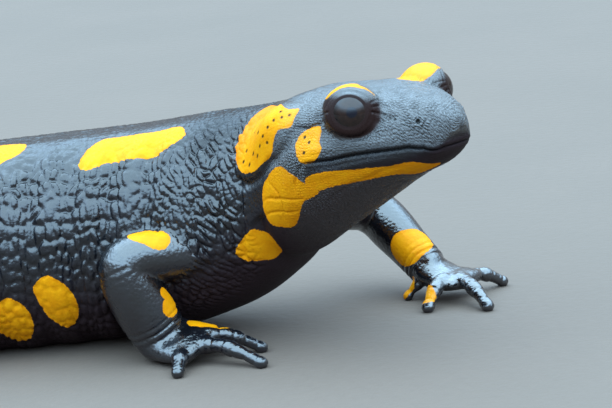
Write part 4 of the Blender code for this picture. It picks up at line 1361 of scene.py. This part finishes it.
def eye_material(groups):
    """A dark brown iris with a rounder black pupil, tinted blue as a painted reflection of the sky, under a
    wet surface.
    """
    material, nodes, shader = new_material("eye")
    where = nodes.places()
    from_pupil = nodes.read("from_pupil")
    tone = use(nodes, groups["blotches"], Place=where, **{"Per mm": 2.5})["Tone"]
    iris = nodes.mix(tone, *IRIS_TONES)
    streaks = nodes.noise(where, 5.0, 3.0, 0.7, 1.2)
    iris = nodes.mix(nodes.step(streaks, 0.55, 0.75, 0.5), iris, IRIS_STREAK)
    iris = nodes.mix(nodes.step(from_pupil, 1.25, 1.75), iris, IRIS_EDGE)
    in_pupil = nodes.step(from_pupil, PUPIL_RADIUS + 0.06, PUPIL_RADIUS - 0.05)
    # The pupil's bluish tint is painted reflection
    nodes.feed(shader.inputs["Base Color"], nodes.mix(in_pupil, iris, PUPIL_AND_REFLECTION))
    for name, value in EYE_SHINE.items():
        shader.inputs[name].default_value = value
    ripple = nodes.add("Bump", {"Height": nodes.noise(where, 1.2, 2.0), "Distance": MM, "Strength": 0.02})
    nodes.feed(shader.inputs["Normal"], ripple.outputs["Normal"])
    return material


FLOOR_TONES = ((0.106, 0.075, 0.056, 1), (0.114, 0.080, 0.060, 1))
FLOOR_SPECKS = (0.098, 0.069, 0.052, 1)
FLOOR_ROUGHNESS = 0.85


def floor_material(groups):
    """Matt and faintly mottled. It looks pale under the bright sky."""
    material, nodes, shader = new_material("floor")
    where = nodes.places()
    tone = use(nodes, groups["blotches"], Place=where, **{"Per mm": 0.02})["Tone"]
    fine = nodes.noise(where, 0.8, 4.0, 0.6)
    pale = nodes.mix(tone, *FLOOR_TONES)
    colour = nodes.mix(nodes.step(fine, 0.3, 0.7, 0.3), pale, FLOOR_SPECKS)
    nodes.feed(shader.inputs["Base Color"], colour)
    shader.inputs["Roughness"].default_value = FLOOR_ROUGHNESS
    bump = nodes.add("Bump", {"Height": fine, "Distance": MM, "Strength": 0.15})
    nodes.feed(shader.inputs["Normal"], bump.outputs["Normal"])
    return material


def paint_skin(surface, groups):
    """Stores what the skin's material reads, and gives the skin that material."""
    behind, angle = surface.behind, surface.angle
    # The lower body and the legs' downward-facing skin turn lighter and browner: the belly's own tone, partly
    # painted bounce light from the ground
    shade = ramp(angle, 8, -38) * ramp(surface.beyond, 1.0, 0.2)
    shade = np.maximum(shade, 0.45 * surface.limb * ramp(surface.normals()[:, 2], 0.1, -0.6))
    surface.keep("spot", surface.spot)
    surface.keep("pore", pore_marks(surface))
    surface.keep("lid", surface.lid)
    # Where the mouth's groove and the nostrils get painted shade
    surface.keep("slit", surface.slit)
    surface.keep("low", shade)
    surface.keep("head", ramp(behind, 21, 16) * ramp(surface.limb, 0.5, 0.1))
    neck_top = bell(behind, 27, 4.5) * ramp(angle, 35, 60)
    wet = np.maximum(ramp(behind, 20, 15), 0.55 * surface.limb)
    surface.keep("dry", 0.58 * (1 - wet) + 0.85 * surface.lip + 0.22 * neck_top)
    slanting = surface.chart[:, 0] - 0.35 * surface.chart[:, 1]
    rear_of_gland = ramp(slanting, 18.6, 20.6) * ramp(behind, 25.5, 24.5)
    surface.keep("orange", 0.7 * rear_of_gland * ramp(angle, 12, 24))
    surface.obj.data.materials.clear()
    surface.obj.data.materials.append(skin_material(groups))


def eyes(groups):
    """Two balls, which store the distance from the pupil at each of their points."""
    material = eye_material(groups)
    for side, word in ((1, "left"), (-1, "right")):
        centre, gaze = eye_axes(side)
        ball = ellipsoid("eyeball_" + word, centre, [EYE_RADIUS] * 3, gaze, 96, 64)
        ball.data.shade_smooth()
        toward = direction(**PUPIL_TOWARDS)
        if side > 0:
            _, leftward = ways(EYE_AT)
            toward = toward - 2 * (toward @ leftward) * leftward
        pupil = centre + toward * EYE_RADIUS
        co = np.array([list(v.co) for v in ball.data.vertices]) / MM - TO_FRAME
        attribute = ball.data.attributes.new("from_pupil", "FLOAT", "POINT")
        attribute.data.foreach_set("value", np.linalg.norm(co - pupil, axis=1).astype(np.float32))
        ball.data.materials.append(material)
        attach(ball, "root")
        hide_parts("eye_" + word)


# Camera: it looks at the right eye from ahead of the flank and slightly above
CAMERA = {"around": 12.0, "above": 12.0, "roll": -5.5, "distance": 265.0, "lens": 168.0}
EYE_IN_PICTURE = (351.4, 113.2)
PICTURE = (612, 408)
SENSOR = 36.0


def camera():
    """Places the camera so that the right eye is where the photo shows it."""
    back = Vector(direction(CAMERA["around"], CAMERA["above"]))
    turn = back.to_track_quat("Z", "Y").to_matrix() @ Matrix.Rotation(radians(CAMERA["roll"]), 3, "Z")
    per_pixel = SENSOR / PICTURE[0] / CAMERA["lens"] * CAMERA["distance"]
    right = (EYE_IN_PICTURE[0] - PICTURE[0] / 2) * per_pixel
    up = (PICTURE[1] / 2 - EYE_IN_PICTURE[1]) * per_pixel
    data = bpy.data.cameras.new("camera")
    data.sensor_width = SENSOR
    data.lens = CAMERA["lens"]
    data.clip_start = 0.01
    data.clip_end = 10
    obj = bpy.data.objects.new("camera", data)
    bpy.context.scene.collection.objects.link(obj)
    obj.location = (Vector(EYE_BOX.mean(axis=0)) + turn @ Vector((-right, -up, CAMERA["distance"]))) * MM
    obj.rotation_euler = turn.to_euler()
    bpy.context.scene.camera = obj


# The sky is bright and bluish from well above the horizon upwards and dim low down. Each stop is where a
# direction lies between the darkest part, 0, and the brightest, 1, and the light's colour there
SKY_BRIGHTEST = {"around": 12.0, "above": 86.0}
SKY = (
    (0.50, (0.045, 0.045, 0.045, 1)), (0.63, (0.085, 0.100, 0.115, 1)), (0.72, (0.20, 0.29, 0.37, 1)),
    (0.81, (0.48, 0.74, 1.0, 1)), (0.90, (0.53, 0.79, 1.0, 1)),
)
SKY_STRENGTH = 7.6


def direction(around, above):
    """The way to a place round the animal, 0 being its right side, and above the horizon, in degrees."""
    around, above = radians(around), radians(above)
    return np.array([sin(around) * cos(above), -cos(around) * cos(above), sin(above)])


def light():
    """An even, open sky."""
    world = bpy.data.worlds.new("sky")
    world.use_nodes = True
    nodes = Nodes(world.node_tree)
    where = nodes.add("TexCoord").outputs["Generated"]
    brightest = tuple(direction(**SKY_BRIGHTEST))
    towards = nodes.add("VectorMath", {0: where, 1: brightest}, operation="DOT_PRODUCT")
    share = nodes.math("MULTIPLY_ADD", towards.outputs["Value"], 0.5, 0.5)
    shade = nodes.add("ValToRGB", {0: share})
    stops = shade.color_ramp.elements
    for _ in SKY[2:]:
        stops.new(0.5)
    for stop, (place_on_ramp, colour) in zip(stops, SKY):
        stop.position, stop.color = place_on_ramp, colour
    background = world.node_tree.nodes["Background"]
    nodes.feed(background.inputs["Color"], shade.outputs["Color"])
    background.inputs["Strength"].default_value = SKY_STRENGTH
    bpy.context.scene.world = world
    bpy.context.scene.view_settings.view_transform = "Standard"


FLOOR_REACH = 3.0


def floor(groups):
    """A square of floor under the animal. Its reach is in metres."""
    corners = [(x * FLOOR_REACH, y * FLOOR_REACH, 0) for x, y in ((-1, -1), (1, -1), (1, 1), (-1, 1))]
    mesh = bpy.data.meshes.new("floor")
    mesh.from_pydata(corners, [], [(0, 1, 2, 3)])
    obj = bpy.data.objects.new("floor", mesh)
    bpy.context.scene.collection.objects.link(obj)
    mesh.materials.append(floor_material(groups))


def main():
    """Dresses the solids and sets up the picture."""
    groups = {"granules": granules_group(), "spots": spot_group(), "blotches": blotch_group()}
    skin = rough_skin()
    surface = Surface(skin)
    shape_skin(surface)
    skin.data.shade_smooth()
    paint_skin(surface, groups)
    flesh = [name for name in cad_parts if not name.startswith("eye")]
    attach(skin, "root")
    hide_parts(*flesh)
    eyes(groups)
    camera()
    light()
    floor(groups)


main()
